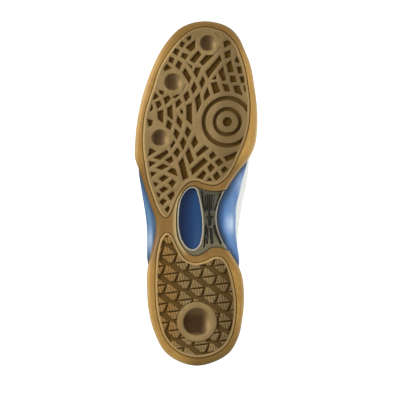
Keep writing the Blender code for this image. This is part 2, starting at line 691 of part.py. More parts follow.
build_shoe()
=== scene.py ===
"""Looks of a right handball shoe that lies on its inner side.

The pieces are drawn standing, in the shoe's own millimetres: X from heel to toe, +Y to the inner side, Z up
from the tread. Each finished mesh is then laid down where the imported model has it.
"""
import math

import bmesh
import bpy
import numpy as np
from mathutils import Euler, Matrix, Vector
from mathutils.kdtree import KDTree


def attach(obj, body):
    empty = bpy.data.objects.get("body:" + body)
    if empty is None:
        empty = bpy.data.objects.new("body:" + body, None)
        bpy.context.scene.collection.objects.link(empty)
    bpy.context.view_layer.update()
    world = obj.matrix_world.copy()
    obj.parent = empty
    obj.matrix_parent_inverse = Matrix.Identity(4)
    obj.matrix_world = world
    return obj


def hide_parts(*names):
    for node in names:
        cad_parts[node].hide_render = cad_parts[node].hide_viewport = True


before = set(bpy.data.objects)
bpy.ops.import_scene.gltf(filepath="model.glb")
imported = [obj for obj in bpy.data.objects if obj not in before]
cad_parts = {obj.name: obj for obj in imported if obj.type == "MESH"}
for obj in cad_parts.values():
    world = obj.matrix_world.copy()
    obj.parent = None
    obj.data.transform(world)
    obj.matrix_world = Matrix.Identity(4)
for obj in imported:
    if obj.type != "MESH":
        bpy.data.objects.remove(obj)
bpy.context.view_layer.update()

MM = 0.001
UNIT = 0.8526  # one chart unit in mm, the sole is 346 units long
CHART_ORIGIN = (195.0, 366.0)  # chart column of the middle line and chart row of the heel end
LAY_ANGLES = (-97.752, -3.959, 0.0)
LAY_SHIFT = (-147.396, -57.748, 39.118)
TURN = Euler([math.radians(a) for a in LAY_ANGLES]).to_matrix()
LAY = Matrix.Translation(Vector(LAY_SHIFT) * MM) @ TURN.to_4x4() @ Matrix.Scale(MM, 4)

ALONG, ACROSS = Vector((1.0, 0.0, 0.0)), Vector((0.0, 1.0, 0.0))
FAR = 1e9  # farther than anything here

# Sole, in mm
STATIONS = 110  # places along the sole where its rows have points
CURVE_STEPS = 24  # steps of a smooth curve between two of its given points
PAD_DEPTH = 3.8
RECESS_DEPTH = 2.2
PAD_GAP = 1.25
PAD_MARGIN = (1.2, 1.8)  # plain margin of a pad: where the pattern starts and where it is full
PAD_ROUND = 0.45  # how far the edge of a pad rounds off
SKIRT = (1.3, 1.5)  # reach and depth of the pad's skirt in the groove round it
GROOVE_SHADE = 0.78  # painted shade of that groove beside that of a recess floor
GAP = 0.3
PLAY = 0.1  # how far the pads and the window panel lie inside their drawn edges
RIM_BOTTOM = 0.9
FLOOR_TOP = 6.2
SEAT_TOP = PAD_DEPTH + GAP
HOLLOW_BOTTOM, NOTCH_TOP = -2.0, 30.0  # reach of the tools below and above the gum
MIDSOLE_BOTTOM = 6.5
CREASE_WIDE = 4.2  # how far from the gum's edge the painted shade of the midsole reaches
SHANK_BOTTOM = 2.2
STRIP_DEPTH, EDGE_RISE, EDGE_ROUND = 1.4, 0.5, 0.3
PANEL_SUNK = 0.4  # depth of the shank's panel in parts of the strip depth
SIDE_INSET = 0.8  # how far inside the gum's edge the shank ends
WINDOW_RIM, WINDOW_HOLLOW, WINDOW_BACK = 4.6, 1.7, FLOOR_TOP + 0.2
FOREFOOT_PITCH, HEEL_PITCH, SHANK_PITCH, WINDOW_PITCH = 0.48, 0.42, 0.5, 0.8  # squares of the flat sheets
INSOLE_THICK = 3.5
SOLE_LENGTH = 295.0
ARCH_RISE = 1.8
ARCH_STATIONS = (84.0, 122.0, 128.0, 168.0)  # where the arch starts, is full, starts to fall and ends
TOE_SPRING = 14.0
TOE_SPRING_START = 215.0
TOE_SPRING_POWER = 1.8
SLICES = np.arange(84.0, SOLE_LENGTH, 3.0)  # cuts across the sole where it can follow arch and toe spring
BRIDGE = (88.0, 156.0, -26.0, 0.0, 2.0)  # gum beside the notch: start, end, outer, inner, top
BRIDGE_SLICES = np.arange(-24.0, -6.0, 1.0)  # cuts along it that carry the painted highlight of its edge

# Painted highlights on the midsole in mm: along, across, half length, half width, strength
HIGHLIGHT_SPOTS = (
    (121.0, 30.8, 8.0, 2.6, 0.9), (127.0, 33.0, 20.0, 4.0, 0.2), (106.0, -38.6, 9.0, 2.2, 0.36),
    (157.0, 38.0, 14.0, 3.0, 0.36),
)

# Upper, in mm
WALL = 2.0
OVERLAY = 0.7
OVERLAY_CORNER = 6.0
RAND_TALL = 24.0  # height of the rand, the white strip laid round the foot of the upper
STITCH_ROWS = (1.7, 3.9)  # distance of the two rows of stitches from the edge of an overlay
STITCH_PITCH = 2.3
STITCH_SIZE = (1.7, 0.6, 0.45)  # length, width and height of a stitch, a little stout so that it shows
KNIT_LOOP = 3.4  # knit between the overlays, drawn twice as coarse as real so that it shows
PANEL_TOP = 0.8  # level where the side panels end
FEATHER_GAP = 0.45
FEATHER_INSET = 2.5
ROW_MM = 31.0  # mean length of the upper between two section rows
LEVEL_MM = 85.0  # mean height of the upper from feather to topline
TONGUE_THICK = 4.0
TONGUE_CHART = (100.0, 132.0)  # way round the tongue and its length
TONGUE_LOOPS, TONGUE_POINTS = 64, 33
TONGUE_SMOOTHED = 8  # how often its sections are evened out
TONGUE_MIDDLE = 1.5
TONGUE_CHANNEL = (0.62, 1.6, 0.35)  # sewn channels: part of the half width, half width in mm, depth
MESH_HOLE = 2.8  # air mesh of the tongue, drawn twice as coarse as real so that it shows
COLLAR_LOOPS, COLLAR_POINTS = 97, 20
COLLAR_REACH = 4.3  # section rows that the collar pad reaches from the heel on both sides
COLLAR_LEVEL, COLLAR_TALL = 0.845, 0.15  # middle level and half its height in levels
COLLAR_HALF, COLLAR_GAP = 2.6, 0.15  # half its thickness, and its gap to the wall
LACE_WIDTH = 6.0
LACE_THICK = 1.5
LACE_LOOPS, LACE_POINTS = 49, 16
LACE_LIFTS = (0.6, 0.8, 2.6)  # rise over the tongue of the straight bar, the lower and the upper run
LACE_RUN, LACE_YARN = 60.0, 1.0  # mean way between two eyelets, and the width of a yarn
LACE_LEAN = 14.0  # yarns that the herringbone leans in one turn round the lace
EYELET_ROWS = 5
EYELET_LEVEL = 0.9
EYELET_FIRST = (7.6, 14.4)  # section rows of the first lateral and the first medial eyelet
EYELET_SPAN = 2.5  # section rows from the first eyelet to the last
EYELET_RING = (2.7, 0.6)  # radius of a ring and of its section
TOE_ROW = 11.0  # section row at the toe

# Gum outline in drawing units: along, lateral edge, medial edge
GUM_TIPS = ((0.0, 2.0), (345.5, 10.0))
GUM_SECTIONS = (
    (3.7, -14.7, 19), (12, -28, 33.3), (20, -34.3, 39.5), (32, -40, 44.7), (44, -44, 47), (60, -47, 49),
    (76, -48, 49), (93, -48, 46.5), (105, -46, 40.5), (118, -42.5, 32.5), (132, -39.5, 25.5),
    (146, -39.5, 22.5), (160, -44, 24), (172, -48, 29), (184, -52, 36), (196, -56, 44.5),
    (208, -60, 54.5), (222, -60, 60.5), (240, -58.5, 62.5), (260, -55, 62), (280, -49.5, 59.5),
    (300, -42, 56), (316, -34, 50), (328, -25.5, 44.5), (337.5, -16, 36.5), (343.1, -5, 25.5),
)
# Midsole outline in drawing units: along, lateral edge, medial edge
MID_TIPS = ((5.5, 2.0), (340.0, 10.0))
MID_SECTIONS = (
    (9, -13, 17), (17, -23.5, 28), (28, -32, 36.5), (42, -38.5, 41.5), (58, -41.8, 43.8),
    (76, -43, 44), (93, -45, 44), (107, -48, 44.5), (120, -48, 42.5), (133, -48, 41),
    (146, -49, 41), (160, -51, 41.5), (172, -53, 44.5), (184, -55, 47), (196, -56.5, 50.5),
    (208, -55.5, 53.5), (222, -54.5, 55), (240, -53, 57), (260, -49.5, 56.5), (280, -44, 54),
    (300, -36.5, 50.5), (314, -29, 45), (325, -20.5, 38), (334, -9, 28),
)
# Heights along the sole in mm: along, top of the midsole, top of the gum wall
SOLE_HEIGHTS = (
    (0, 20.0, 17.0), (55, 20.0, 15.5), (72, 19.6, 11.0), (84, 19.2, 6.4), (110, 18.4, 6.2),
    (150, 16.2, 6.2), (178, 14.8, 6.2), (190, 14.2, 7.6), (205, 13.6, 9.6), (250, 12.6, 10.0),
    (295, 12.4, 11.5),
)
MIDSOLE_TOP, WALL_TOP = 1, 2  # columns of that table
# Side of the gum cup below its step in mm: inset from the edge, height
GUM_RIM = (
    (8.4, RIM_BOTTOM + 0.35), (6.6, RIM_BOTTOM + 0.08), (4.6, RIM_BOTTOM), (3.2, RIM_BOTTOM + 0.1),
    (2.2, RIM_BOTTOM + 0.4), (1.3, 1.9), (0.6, 2.7), (0.15, 3.6), (0.0, 4.3), (0.1, 5.0), (0.6, 5.25),
)
# Side of the gum cup above its step: inset from the edge, part of the way to the top of the wall
GUM_WALL = ((0.5, 0.2), (0.55, 0.75), (0.8, 0.92), (1.5, 1.0), (9.0, 1.0))
# Side of the midsole: inset from the edge, part of the height, tuck under the waist in mm
MIDSOLE_SIDE = (
    (2.0, 0.0, 9.0), (1.2, 0.03, 5.0), (0.5, 0.12, 2.6), (0.15, 0.22, 1.2), (0.0, 0.35, 0.3),
    (0.0, 0.48, 0.0), (0.0, 0.6, 0.0), (0.25, 0.72, 0.0), (0.7, 0.86, 0.0), (1.3, 0.95, 0.0), (2.0, 1.0, 0.0),
)
# Rows under the waist that carry the painted shade of the crease, with the same values
MIDSOLE_UNDER = ((2.0, 0.0, 16.5), (2.0, 0.0, 14.9), (2.0, 0.0, 13.3), (2.0, 0.0, 11.2))
TUCK_STATIONS = (70.0, 100.0, 150.0, 180.0)  # where the tuck starts, is full, starts to go and ends
# Side of the insole in mm: inset from the midsole's edge, height above the midsole
FOOTBED_SIDE = (
    (7.0, GAP), (6.2, GAP + 0.8), (6.2, INSOLE_THICK - 0.9), (6.5, INSOLE_THICK - 0.3), (7.4, INSOLE_THICK),
)
# Edges of the two tread pads in drawing units: along, across
FOREFOOT_EDGE = (
    (338.6, 10), (337, 20), (333, 30), (322, 40), (308, 46), (294, 50), (281, 52), (266, 54), (251, 54),
    (238, 52.5), (225, 49), (213, 44), (198, 37), (187, 29), (181.7, 20), (183, 10), (185.8, 2), (184, -7),
    (177, -14), (168, -19), (158, -23), (152.5, -25.5), (149, -29), (153, -34), (169, -41), (186, -46.5),
    (203, -49.5), (219, -51.5), (236, -51.2), (251, -49.5), (264, -46), (276, -42), (297, -35), (314, -25),
    (326, -15), (335, -4),
)
HEEL_EDGE = (
    (132.5, -28), (128, -33), (121, -35.5), (106, -38), (81, -39), (59, -38), (43, -35), (29, -30),
    (18, -21), (11, -9), (9, 4), (12, 18), (20, 30), (33, 37), (48, 40), (63, 40.5), (76, 39), (90, 36),
    (102, 31.5), (108, 26), (108.2, 19), (104, 10), (102.3, -1), (107, -11), (118, -18), (130, -24),
)
# Notch of the gum at the waist, filled by the shank: along, across
NOTCH_EDGE = (
    (168, -15), (158, -17.8), (146, -18.6), (133, -18), (124, -15.4), (116, -10), (111, -4), (110, 1),
    (111.5, 6), (114.5, 11), (117.5, 15), (118.8, 20), (118.5, 25), (117, 30), (115, 36), (118, 41),
    (133, 41), (160, 41), (175, 41), (177.5, 36), (175.5, 29), (174.5, 22), (175, 15), (176, 9), (178, 4),
    (180, -1), (179.5, -5), (176.5, -9.5),
)
# Window of the shank: along, across
WINDOW_EDGE = (
    (178, -2.5), (176, -7.6), (168.5, -13), (160, -15.3), (150, -16.2), (138, -16), (126, -12.9),
    (118.5, -7.4), (116.5, -2), (120, 3.5), (130, 6.8), (146, 7.2), (160, 5.4), (171, 3), (176.5, 1),
)
# Round features of the pads in drawing units: along, across, ring radius, bowl radius
SUCTION_CUPS = ((323, 13, 12, 8.4), (284, -22, 11.5, 9.1), (228, -35, 11, 8.6))
HEEL_CUP = (44, 2, 20, 14.5)
# Painted shade in the bowls: strength, how far inward it lies full in bowl radii, part of it left at the
# outer side
FOREFOOT_BOWL_SHADE = (0.86, 0.0, 0.5)
HEEL_BOWL_SHADE = (0.98, 0.25, 1.0)
BOWL_HIGHLIGHT = (0.74, -0.2, 0.14, 0.4)  # painted highlight in bowl radii: inward, toeward, half width, half length
RING_CROWN = (0.12, 1.6)  # rise of a cup's ring in parts of the recess depth, its half width in mm
FOREFOOT_MOAT, HEEL_MOAT = 0.1, 0.5  # groove round a ring, in parts of the recess depth
# Pivot under the ball in drawing units: middle, outer radius, inner and outer radius of each groove
PIVOT = (244, 32.5)
PIVOT_DISC = 30.5
PIVOT_GROOVES = ((0.0, 4.7), (10.7, 14.8), (21.5, 26.0))
PIVOT_HUB = 6.0  # radius outside which the pivot grooves have less painted shade
PIVOT_SHADE = 0.6  # how much painted shade they have there beside a recess floor
# Lattice of the heel lug pairs in drawing units: origin and the two steps, along and across
LUG_ORIGIN = (82.0, 27.0)
LUG_STEP_A = (-18.8, 1.4)
LUG_STEP_B = (7.2, -13.3)
LUG_PAIRS, LUG_FIRST = (11, 11), 3  # pairs tried along both steps, how many before the origin
LUG_REACH = 14.0  # mm round the middle of a pair where its lugs can lie
# Corners of the two lugs of a pair, from the middle of the pair: along, across
LUG_CORNERS = (
    ((0.1, -6.2), (1.7, 6.8), (7.7, -0.8), (8.2, -3.8)),
    ((-1.7, -6.2), (-0.1, 6.8), (-7.2, 3.4), (-7.7, 0.6)),
)
LUG_RIB_PITCH = 2.7
LUG_RIB_LEAN, LUG_RIB_DEPTH = 0.2, 0.36  # slant of the fine ribs, depth in parts of the recess depth
BOWL_DEPTH = 1.65  # depth of a bowl in parts of the recess depth
HEEL_SHADE = 0.55  # how dark the painted shade of the heel recesses is beside that of the forefoot
RIB_CROWN = 0.16  # how far the ribs round off, in parts of the recess depth
RIB_ROUND = 2.6  # mm from a recess where they start to round off

# Recesses of the forefoot pad, charted: corners as chart column and chart row, clockwise
FOREFOOT_CELLS = (
    ((191, 36), (190.5, 39), (188.5, 40), (187, 38)), ((181.5, 41.5), (185, 43), (182.5, 47), (180, 45.5)),
    ((175.5, 48.5), (179.5, 50), (177, 55), (173.5, 52.5)),
    ((170.5, 57), (174, 58.5), (172.5, 63), (169, 61)),
    ((167, 64.5), (171, 68), (165, 70.5), (164.5, 68.5)),
    ((195, 40.5), (195, 47.5), (191, 51), (186.5, 47.5)),
    ((183, 53), (188, 55), (185.5, 59), (181.5, 56.5)), ((178.5, 61), (182, 63.5), (179.5, 69), (176, 66)),
    ((198.5, 51), (201, 54.5), (194.5, 62.5), (190.5, 60)), ((189, 64.5), (192, 66.5), (192, 68)),
    ((206, 55.5), (213, 55.5), (203, 65), (200.5, 62.5)),
    ((220, 56), (221.5, 60), (208.5, 77.5), (206, 72)),
    ((185.5, 68.5), (191, 78), (189.5, 82.5), (183, 72.5)), ((196, 68), (200.5, 68), (197, 77), (194, 72)),
    ((203, 77), (205, 81.5), (202, 88), (200, 83)), ((216, 76), (216, 79), (213, 79)),
    ((223, 67.5), (226, 80), (223, 80.5), (219, 72)), ((231, 61), (233.5, 71.5), (229, 72), (227, 64)),
    ((237, 57), (239, 61), (239, 63), (235.5, 61)), ((237.5, 67), (241, 67), (242, 73), (239, 73)),
    ((228.5, 40.5), (231, 43.5), (225, 47), (224, 42)),
    ((230.5, 50.5), (230.5, 56.5), (226, 58), (225, 52.5)),
    ((230.5, 76.5), (235, 76.5), (236.5, 81.5), (231.5, 82)),
    ((240.5, 77), (244, 77), (245, 82), (242, 82.5)),
    ((211.5, 83.5), (216.5, 82.5), (220, 91.5), (214.5, 93.5)),
    ((223, 84.5), (228, 85.5), (230, 91), (225.5, 91)),
    ((234, 86.5), (239, 86), (242.5, 95.5), (236, 92.5)), ((244.5, 86), (246, 87), (247, 92), (245.5, 91)),
    ((207.5, 88.5), (210, 95), (205, 100), (204.5, 96)),
    ((194.5, 82.5), (197, 88), (193.5, 93), (191.5, 88.5)),
    ((188, 91.5), (189.5, 97), (186, 101), (184, 95.5)),
    ((199.5, 94), (201, 104), (197.5, 111.5), (195.5, 98.5)),
    ((187, 105.5), (191.5, 103.5), (192, 124), (187, 119.5)),
    ((159.5, 90.5), (163.5, 91.5), (163.5, 94.5), (160.5, 93.5)),
    ((155.5, 93.5), (158.5, 97), (153.5, 99.5)), ((168.5, 96), (170.5, 99), (166, 104), (164, 98.5)),
    ((176, 95.5), (179, 95), (176, 97.5), (173.5, 97.5)),
    ((179.5, 99.5), (181.5, 103), (177, 107.5), (176, 102.5)),
    ((160, 101.5), (161.5, 105), (158, 108.5), (156, 102.5)), ((152, 105), (152.8, 109), (150.5, 111)),
    ((181, 109.5), (182.8, 111), (182.8, 114), (181, 112.5)),
    ((158, 112), (163, 110.5), (163, 122.5), (158.5, 119)),
    ((167.5, 108.5), (172, 105.5), (172.8, 119.5), (168, 115.5)),
    ((148, 119.5), (152.5, 121), (152, 125), (149, 126)),
    ((168, 120.5), (172, 124), (170.5, 129.5), (166.5, 127)),
    ((178, 116.5), (182, 122), (181, 127.5), (177, 122.5)),
    ((175.5, 129.5), (179.5, 133.5), (177, 139), (174, 134)),
    ((187.5, 127), (191, 131.5), (188, 137), (185.3, 132.5)),
    ((183.5, 138), (186, 142.5), (183.5, 149), (180.5, 143)),
    ((195, 136.5), (198, 143), (194, 147.5), (191.7, 143)),
    ((174, 141), (175, 143), (171.5, 148), (170.8, 146)), ((150, 148.5), (155.5, 151.5), (148.5, 156)),
    ((167, 150.5), (168.3, 153), (160.5, 159.5), (154.5, 158)),
    ((177.5, 148.5), (180.2, 152), (177.5, 157), (174, 153)),
    ((171.5, 157), (173, 161), (170, 163), (166, 160)),
    ((189, 148.5), (193.5, 160.5), (190, 164), (186, 153.5)),
    ((183, 158), (188, 177.5), (183.5, 180), (179, 163)),
    ((204.5, 146), (208.5, 148.5), (198, 156.5), (196.5, 154)),
    ((204, 158.5), (207.5, 161.5), (193, 174.5), (191.5, 169.5)),
    ((213, 152), (216, 156), (211.5, 159), (209.5, 155.5)),
    ((219.5, 159), (223, 163), (219, 166), (215.3, 162)),
    ((236.5, 152.5), (235, 157.5), (227.5, 161), (224.5, 157.5)),
    ((211, 164), (214.5, 168), (210.5, 172), (208, 167.5)),
    ((224.5, 167), (228, 169.5), (224, 173), (221.5, 170)),
    ((203.5, 171), (206, 173.5), (202.5, 179), (197.5, 177.5)),
    ((217, 172), (220, 177), (216.5, 180), (213.5, 176)), ((209.7, 178), (212, 180.5), (207.5, 180.5)),
    ((149.5, 161.5), (155.5, 163), (150, 166.5)), ((163, 164.5), (168, 166.5), (162, 169.5), (157, 168)),
    ((151, 172.5), (156, 173), (152, 176.5)), ((172, 168.5), (175.5, 170), (177, 175.5), (168, 171.5)),
    ((164, 175.5), (168, 177.5), (163, 181.5), (159.5, 179)), ((154, 182.5), (158, 184), (155.5, 186.5)),
    ((172.5, 180), (175.5, 182.5), (172.5, 187), (169, 183)),
    ((164, 187), (168, 189), (163, 192.5), (160, 190)), ((157, 193), (160.5, 194.5), (159, 197)),
    ((173, 192), (174.5, 195), (171, 200), (168, 195.5)),
    ((163, 199), (166.5, 201), (163, 205), (160, 202)),
    ((168.5, 206.5), (170, 209), (168, 212.5), (165.5, 209.5)),
)
CELL_GROWTH = 0.85  # mm that the mouth of a recess reaches past its charted floor
CELL_RAMP = 1.2  # mm over which the wall of a recess slopes
CUP_GROOVE_DEPTH = 0.3  # in parts of the recess depth
# Thin grooves beside the suction cups: from column, row, to column, row, half width
CUP_GROOVES = ((216, 32.5, 220.5, 37.5, 0.6), (221, 46.5, 214, 54.5, 0.6), (186, 84, 183, 91, 0.6))
# Sunk strips of the shank: from column, row, to column, row, half width
SHANK_STRIPS = (
    (201.7, 191, 203.2, 203, 0.7), (203.2, 203, 205.3, 211.5, 0.7), (220.5, 194, 215.2, 210.5, 0.9),
    (205.7, 196, 206.3, 210.5, 0.6), (207.8, 195.5, 208, 210.5, 0.6), (209.9, 195.5, 209.9, 210.5, 0.6),
    (212, 195.5, 211.7, 210.5, 0.6), (208.5, 210.8, 211.2, 210.8, 1.2), (209.6, 212, 209.7, 217, 1.2),
    (207.8, 217.5, 212.4, 217.5, 1.2), (210, 219, 210.1, 225, 1.6), (206.2, 225.5, 204.3, 247, 0.7),
    (208, 229, 207.2, 243.5, 1.0), (210.9, 230, 212.3, 243, 1.5), (214.5, 226, 216, 232, 1.0),
    (216, 232, 221, 243.5, 1.2),
)
# Sunk panel of the shank: corners as chart column and chart row
SHANK_PANEL = ((203.8, 195), (216.2, 195), (214.2, 211.5), (205.6, 211.5))

# Sections of the upper in mm, from the heel along the lateral side to the toe and back on the medial side:
# side, along, topline (x, y, z), lower handle (bulge, rise), upper handle (reach, drop)
UPPER_ROWS = (
    (0, "heel", 10.0, 1.5, 96.0, 4.0, 26.0, 1.5, 24.0),
    (-1, 13.0, 22.0, -21.5, 91.0, 4.0, 26.0, 1.0, 22.0),
    (-1, 36.0, 45.0, -28.0, 80.0, 3.0, 24.0, 1.0, 18.0),
    (-1, 70.0, 80.0, -29.5, 74.0, 3.0, 22.0, 2.0, 16.0),
    (-1, 106.0, 116.0, -28.0, 95.0, 2.5, 24.0, 9.0, 22.0),
    (-1, 132.0, 138.0, -19.0, 104.0, 2.5, 26.0, 17.0, 14.0),
    (-1, 160.0, 163.0, -16.0, 93.0, 2.5, 24.0, 21.0, 9.0),
    (-1, 192.0, 187.0, -13.0, 82.0, 3.0, 20.0, 25.0, 6.0),
    (-1, 222.0, 201.0, -8.5, 76.0, 3.0, 18.0, 28.0, 5.0),
    (-1, 250.0, 206.5, -4.5, 74.0, 3.0, 18.0, 34.0, 4.5),
    (-1, 270.0, 208.5, -1.5, 73.4, 3.0, 18.0, 40.0, 4.0),
    (0, "toe", 209.0, 1.5, 73.2, 3.0, 20.0, 46.0, 4.0),
    (1, 274.0, 208.5, 4.5, 73.4, 3.0, 18.0, 42.0, 4.0),
    (1, 254.0, 206.5, 7.5, 74.0, 3.0, 18.0, 36.0, 4.5),
    (1, 226.0, 201.0, 11.5, 76.0, 3.5, 18.0, 29.0, 5.0),
    (1, 196.0, 187.0, 16.0, 82.0, 6.0, 20.0, 27.0, 6.0),
    (1, 164.0, 163.0, 19.0, 93.0, 12.0, 24.0, 24.0, 10.0),
    (1, 136.0, 138.0, 22.0, 104.0, 13.0, 26.0, 18.0, 15.0),
    (1, 108.0, 116.0, 28.5, 95.0, 6.5, 24.0, 8.0, 22.0),
    (1, 72.0, 80.0, 30.5, 74.0, 2.5, 22.0, 1.5, 16.0),
    (1, 38.0, 45.0, 29.0, 80.0, 2.0, 24.0, 0.5, 18.0),
    (1, 14.0, 22.0, 22.5, 91.0, 3.5, 26.0, 0.5, 22.0),
)
UPPER_AROUND = 352
UPPER_UP = 84
# Overlays of the upper: first and last section row, first and last level
OVERLAY_FIELDS = (
    (3.7, 9.3, 0.81, 1.3), (12.7, 18.3, 0.81, 1.3), (8.6, 13.4, -0.3, 0.43), (-2.6, 2.6, -0.3, 0.67),
)
# Side panels: row and half width at the feather, row and half width at the eyestay
SIDE_PANELS = ((5.4, 1.5, 5.9, 0.8), (16.6, 1.5, 16.1, 0.8))
# Flex creases over the toe joint in mm: along, depth, half width
FLEX_CREASES = ((197.0, 0.5, 4.0), (209.0, 0.8, 4.5), (221.0, 0.7, 4.5), (232.0, 0.4, 4.0))
CREASE_LEVELS = (0.45, 0.7, 0.93, 1.0)  # levels where they start, are full, start to go and end
CREASE_BOW, CREASE_MIDDLE = 0.1, 5.0  # how far they bow to the toe for each mm beside their middle
# Tongue sections in mm: along, height of the middle, half width, drop at the edge
TONGUE_ROWS = (
    (216, 66.2, 17, 5.0), (204, 70.7, 21, 7.0), (190, 77.5, 24.5, 9.0), (165, 88.5, 26, 10.5),
    (140, 99.0, 23.5, 10.0), (122, 108.5, 22.5, 9.0), (108, 117.0, 22, 7.5), (101, 121.0, 17, 5.0),
)

# Lights: name, place in m, size in m, power in W
LIGHTS = (("key", (0.7, -1.05, 1.85), 0.9, 71.0), ("fill", (0.0, -2.2, 0.3), 1.4, 3.0))
LIGHTS_AIM = (0.0, 0.0, 0.05)
ROOM_LIGHT = 0.18
FLOOR_GLOW = 1.15
FLOOR_HALF = 12.0  # m
VIEW_WIDTH = 400 * UNIT  # mm of the tread plane across the picture
VIEW_CENTRE = (141.5, 4.3, 0.0)  # place on the standing shoe in the middle of the picture
VIEW_DISTANCE = 5.0  # m


def between(s, t0, t1, a, b):
    """Point at s on the straight way from a at t0 to b at t1."""
    return (t1 - s) / (t1 - t0) * a + (s - t0) / (t1 - t0) * b


def arc_length(path):
    """Way along a path from its start to each of its points."""
    return np.concatenate([[0.0], np.cumsum(np.hypot(*np.diff(path, axis=0).T))])


def closed_curve(points, count):
    """Closed smooth curve through the points, counter-clockwise and sampled evenly."""
    pts = np.array(points, float)
    n = len(pts)
    dense = []
    for i in range(n):
        p = [pts[(i + k - 1) % n] for k in range(4)]
        t = [0.0]
        for a, b in zip(p, p[1:]):
            t.append(t[-1] + max(1e-6, float(np.hypot(*(b - a))) ** 0.5))
        for s in np.linspace(t[1], t[2], CURVE_STEPS, endpoint=False):
            a = [between(s, t[k], t[k + 1], p[k], p[k + 1]) for k in range(3)]
            b = [between(s, t[k], t[k + 2], a[k], a[k + 1]) for k in range(2)]
            dense.append(between(s, t[1], t[2], *b))
    ring = np.array(dense + dense[:1])
    arc = arc_length(ring)
    want = np.linspace(0.0, arc[-1], count, endpoint=False)
    curve = np.column_stack([np.interp(want, arc, ring[:, k]) for k in (0, 1)])
    x, y = curve.T
    area = np.sum(x * np.roll(y, -1) - y * np.roll(x, -1))
    return curve if area > 0 else curve[::-1]


def outward(curve):
    """Outward unit normals of a counter-clockwise curve."""
    step = np.roll(curve, -1, axis=0) - np.roll(curve, 1, axis=0)
    normal = np.column_stack([step[:, 1], -step[:, 0]])
    return normal / np.hypot(*normal.T)[:, None]


def grown(curve, distance):
    """Counter-clockwise curve moved outward along its normals."""
    return curve + outward(curve) * distance


def outline(tips, sections):
    """Dense curve of a sole outline in mm."""
    lateral = [(row[0], row[1]) for row in sections]
    medial = [(row[0], row[2]) for row in sections][::-1]
    return closed_curve(np.array([tips[0]] + lateral + [tips[1]] + medial) * UNIT, count=1440)


def ladder(curve):
    """Loop of points paired across the foot: heel tip, one side, toe tip, other side."""
    curve = np.roll(curve, -int(np.argmin(curve[:, 0])), axis=0)
    toe = int(np.argmax(curve[:, 0]))
    first = curve[:toe + 1]
    second = np.vstack([curve[toe:], curve[:1]])[::-1]
    sweep = (1.0 - np.cos(np.linspace(0.0, math.pi, STATIONS + 1))) / 2.0
    x = curve[0, 0] + (curve[toe, 0] - curve[0, 0]) * sweep
    sides = []
    for side in (first, second):
        rising = np.maximum.accumulate(side[:, 0] + np.arange(len(side)) * 1e-7)
        sides.append(np.column_stack([x, np.interp(x, rising, side[:, 1])]))
    return np.vstack([sides[0], sides[1][1:-1][::-1]])


def height(x, column):
    """Height along the sole from the table."""
    table = np.array(SOLE_HEIGHTS, float)
    return np.interp(x, table[:, 0], table[:, column])


def smooth(a, b, x):
    """Soft step from 0 at a to 1 at b; a may be the larger of the two."""
    t = np.clip((np.asarray(x, float) - a) / (b - a), 0.0, 1.0)
    return t * t * (3.0 - 2.0 * t)


def hill(stations, x):
    """Soft rise between the first two stations and soft fall between the last two."""
    return smooth(*stations[:2], x) * smooth(*stations[:1:-1], x)


def base(x):
    """Rise of the whole sole above the ground: arch and toe spring."""
    run = np.clip((np.asarray(x, float) - TOE_SPRING_START) / (SOLE_LENGTH - TOE_SPRING_START), 0.0, 2.0)
    return ARCH_RISE * hill(ARCH_STATIONS, x) + TOE_SPRING * run ** TOE_SPRING_POWER


def charted(column, row):
    """Along and across in mm of a place on the chart."""
    return (CHART_ORIGIN[1] - row) * UNIT, (column - CHART_ORIGIN[0]) * UNIT


GUM = outline(GUM_TIPS, GUM_SECTIONS)
MID = outline(MID_TIPS, MID_SECTIONS)
FOREFOOT, HEEL, NOTCH, WINDOW = (
    closed_curve(np.array(edge, float) * UNIT, count)
    for edge, count in ((FOREFOOT_EDGE, 900), (HEEL_EDGE, 700), (NOTCH_EDGE, 600), (WINDOW_EDGE, 400)))
INNER_SIDE = grown(GUM, -SIDE_INSET)  # where the shank ends beside the inner bulge of the midsole


def within(points, curve):
    """True for each point inside the closed curve."""
    a = curve[::4]
    b = np.roll(a, -1, axis=0)
    x, y = points[:, :1], points[:, 1:]
    crosses = (a[:, 1] > y) != (b[:, 1] > y)
    rise = np.where(b[:, 1] == a[:, 1], 1.0, b[:, 1] - a[:, 1])
    where = a[:, 0] + (y - a[:, 1]) / rise * (b[:, 0] - a[:, 0])
    return np.sum(crosses & (x < where), axis=1) % 2 == 1


def distance(points, curve):
    """Distance of each point from the samples of a curve, and the nearest sample."""
    tree = KDTree(len(curve))
    for i, p in enumerate(curve):
        tree.insert((*p, 0.0), i)
    tree.balance()
    found = [tree.find((*p, 0.0)) for p in points]
    return np.array([f[2] for f in found]), np.array([f[0][:2] for f in found])


def strip_distance(points, column0, row0, column1, row1):
    """Distance of each point from a straight stretch on the chart."""
    a = np.array(charted(column0, row0))
    run = np.array(charted(column1, row1)) - a
    t = np.clip((points - a) @ run / (run @ run), 0.0, 1.0)
    return np.hypot(*(points - a - t[:, None] * run).T)


def corner_depth(points, corners):
    """How far each point lies inside a convex shape, negative outside."""
    shape = np.array(corners, float)
    middle = shape.mean(axis=0)
    depth = np.full(len(points), FAR)
    for a, b in zip(shape, np.roll(shape, -1, axis=0)):
        across = np.array((a[1] - b[1], b[0] - a[0])) / math.dist(a, b)
        if across @ (middle - a) < 0:
            across = -across
        depth = np.minimum(depth, (points - a) @ across)
    return depth


def marked(bm, **marks):
    """Keeps values at the vertices, one layer for each mark."""
    for name, values in marks.items():
        layer = bm.verts.layers.float.new(name)
        for v, value in zip(bm.verts, values):
            v[layer] = value


def plan(verts):
    """Along and across of the vertices."""
    return np.array([v.co[:2] for v in verts])


def ringed(values):
    """Rows with their first entry once more at the end."""
    return np.concatenate([values, values[:, :1]], axis=1)


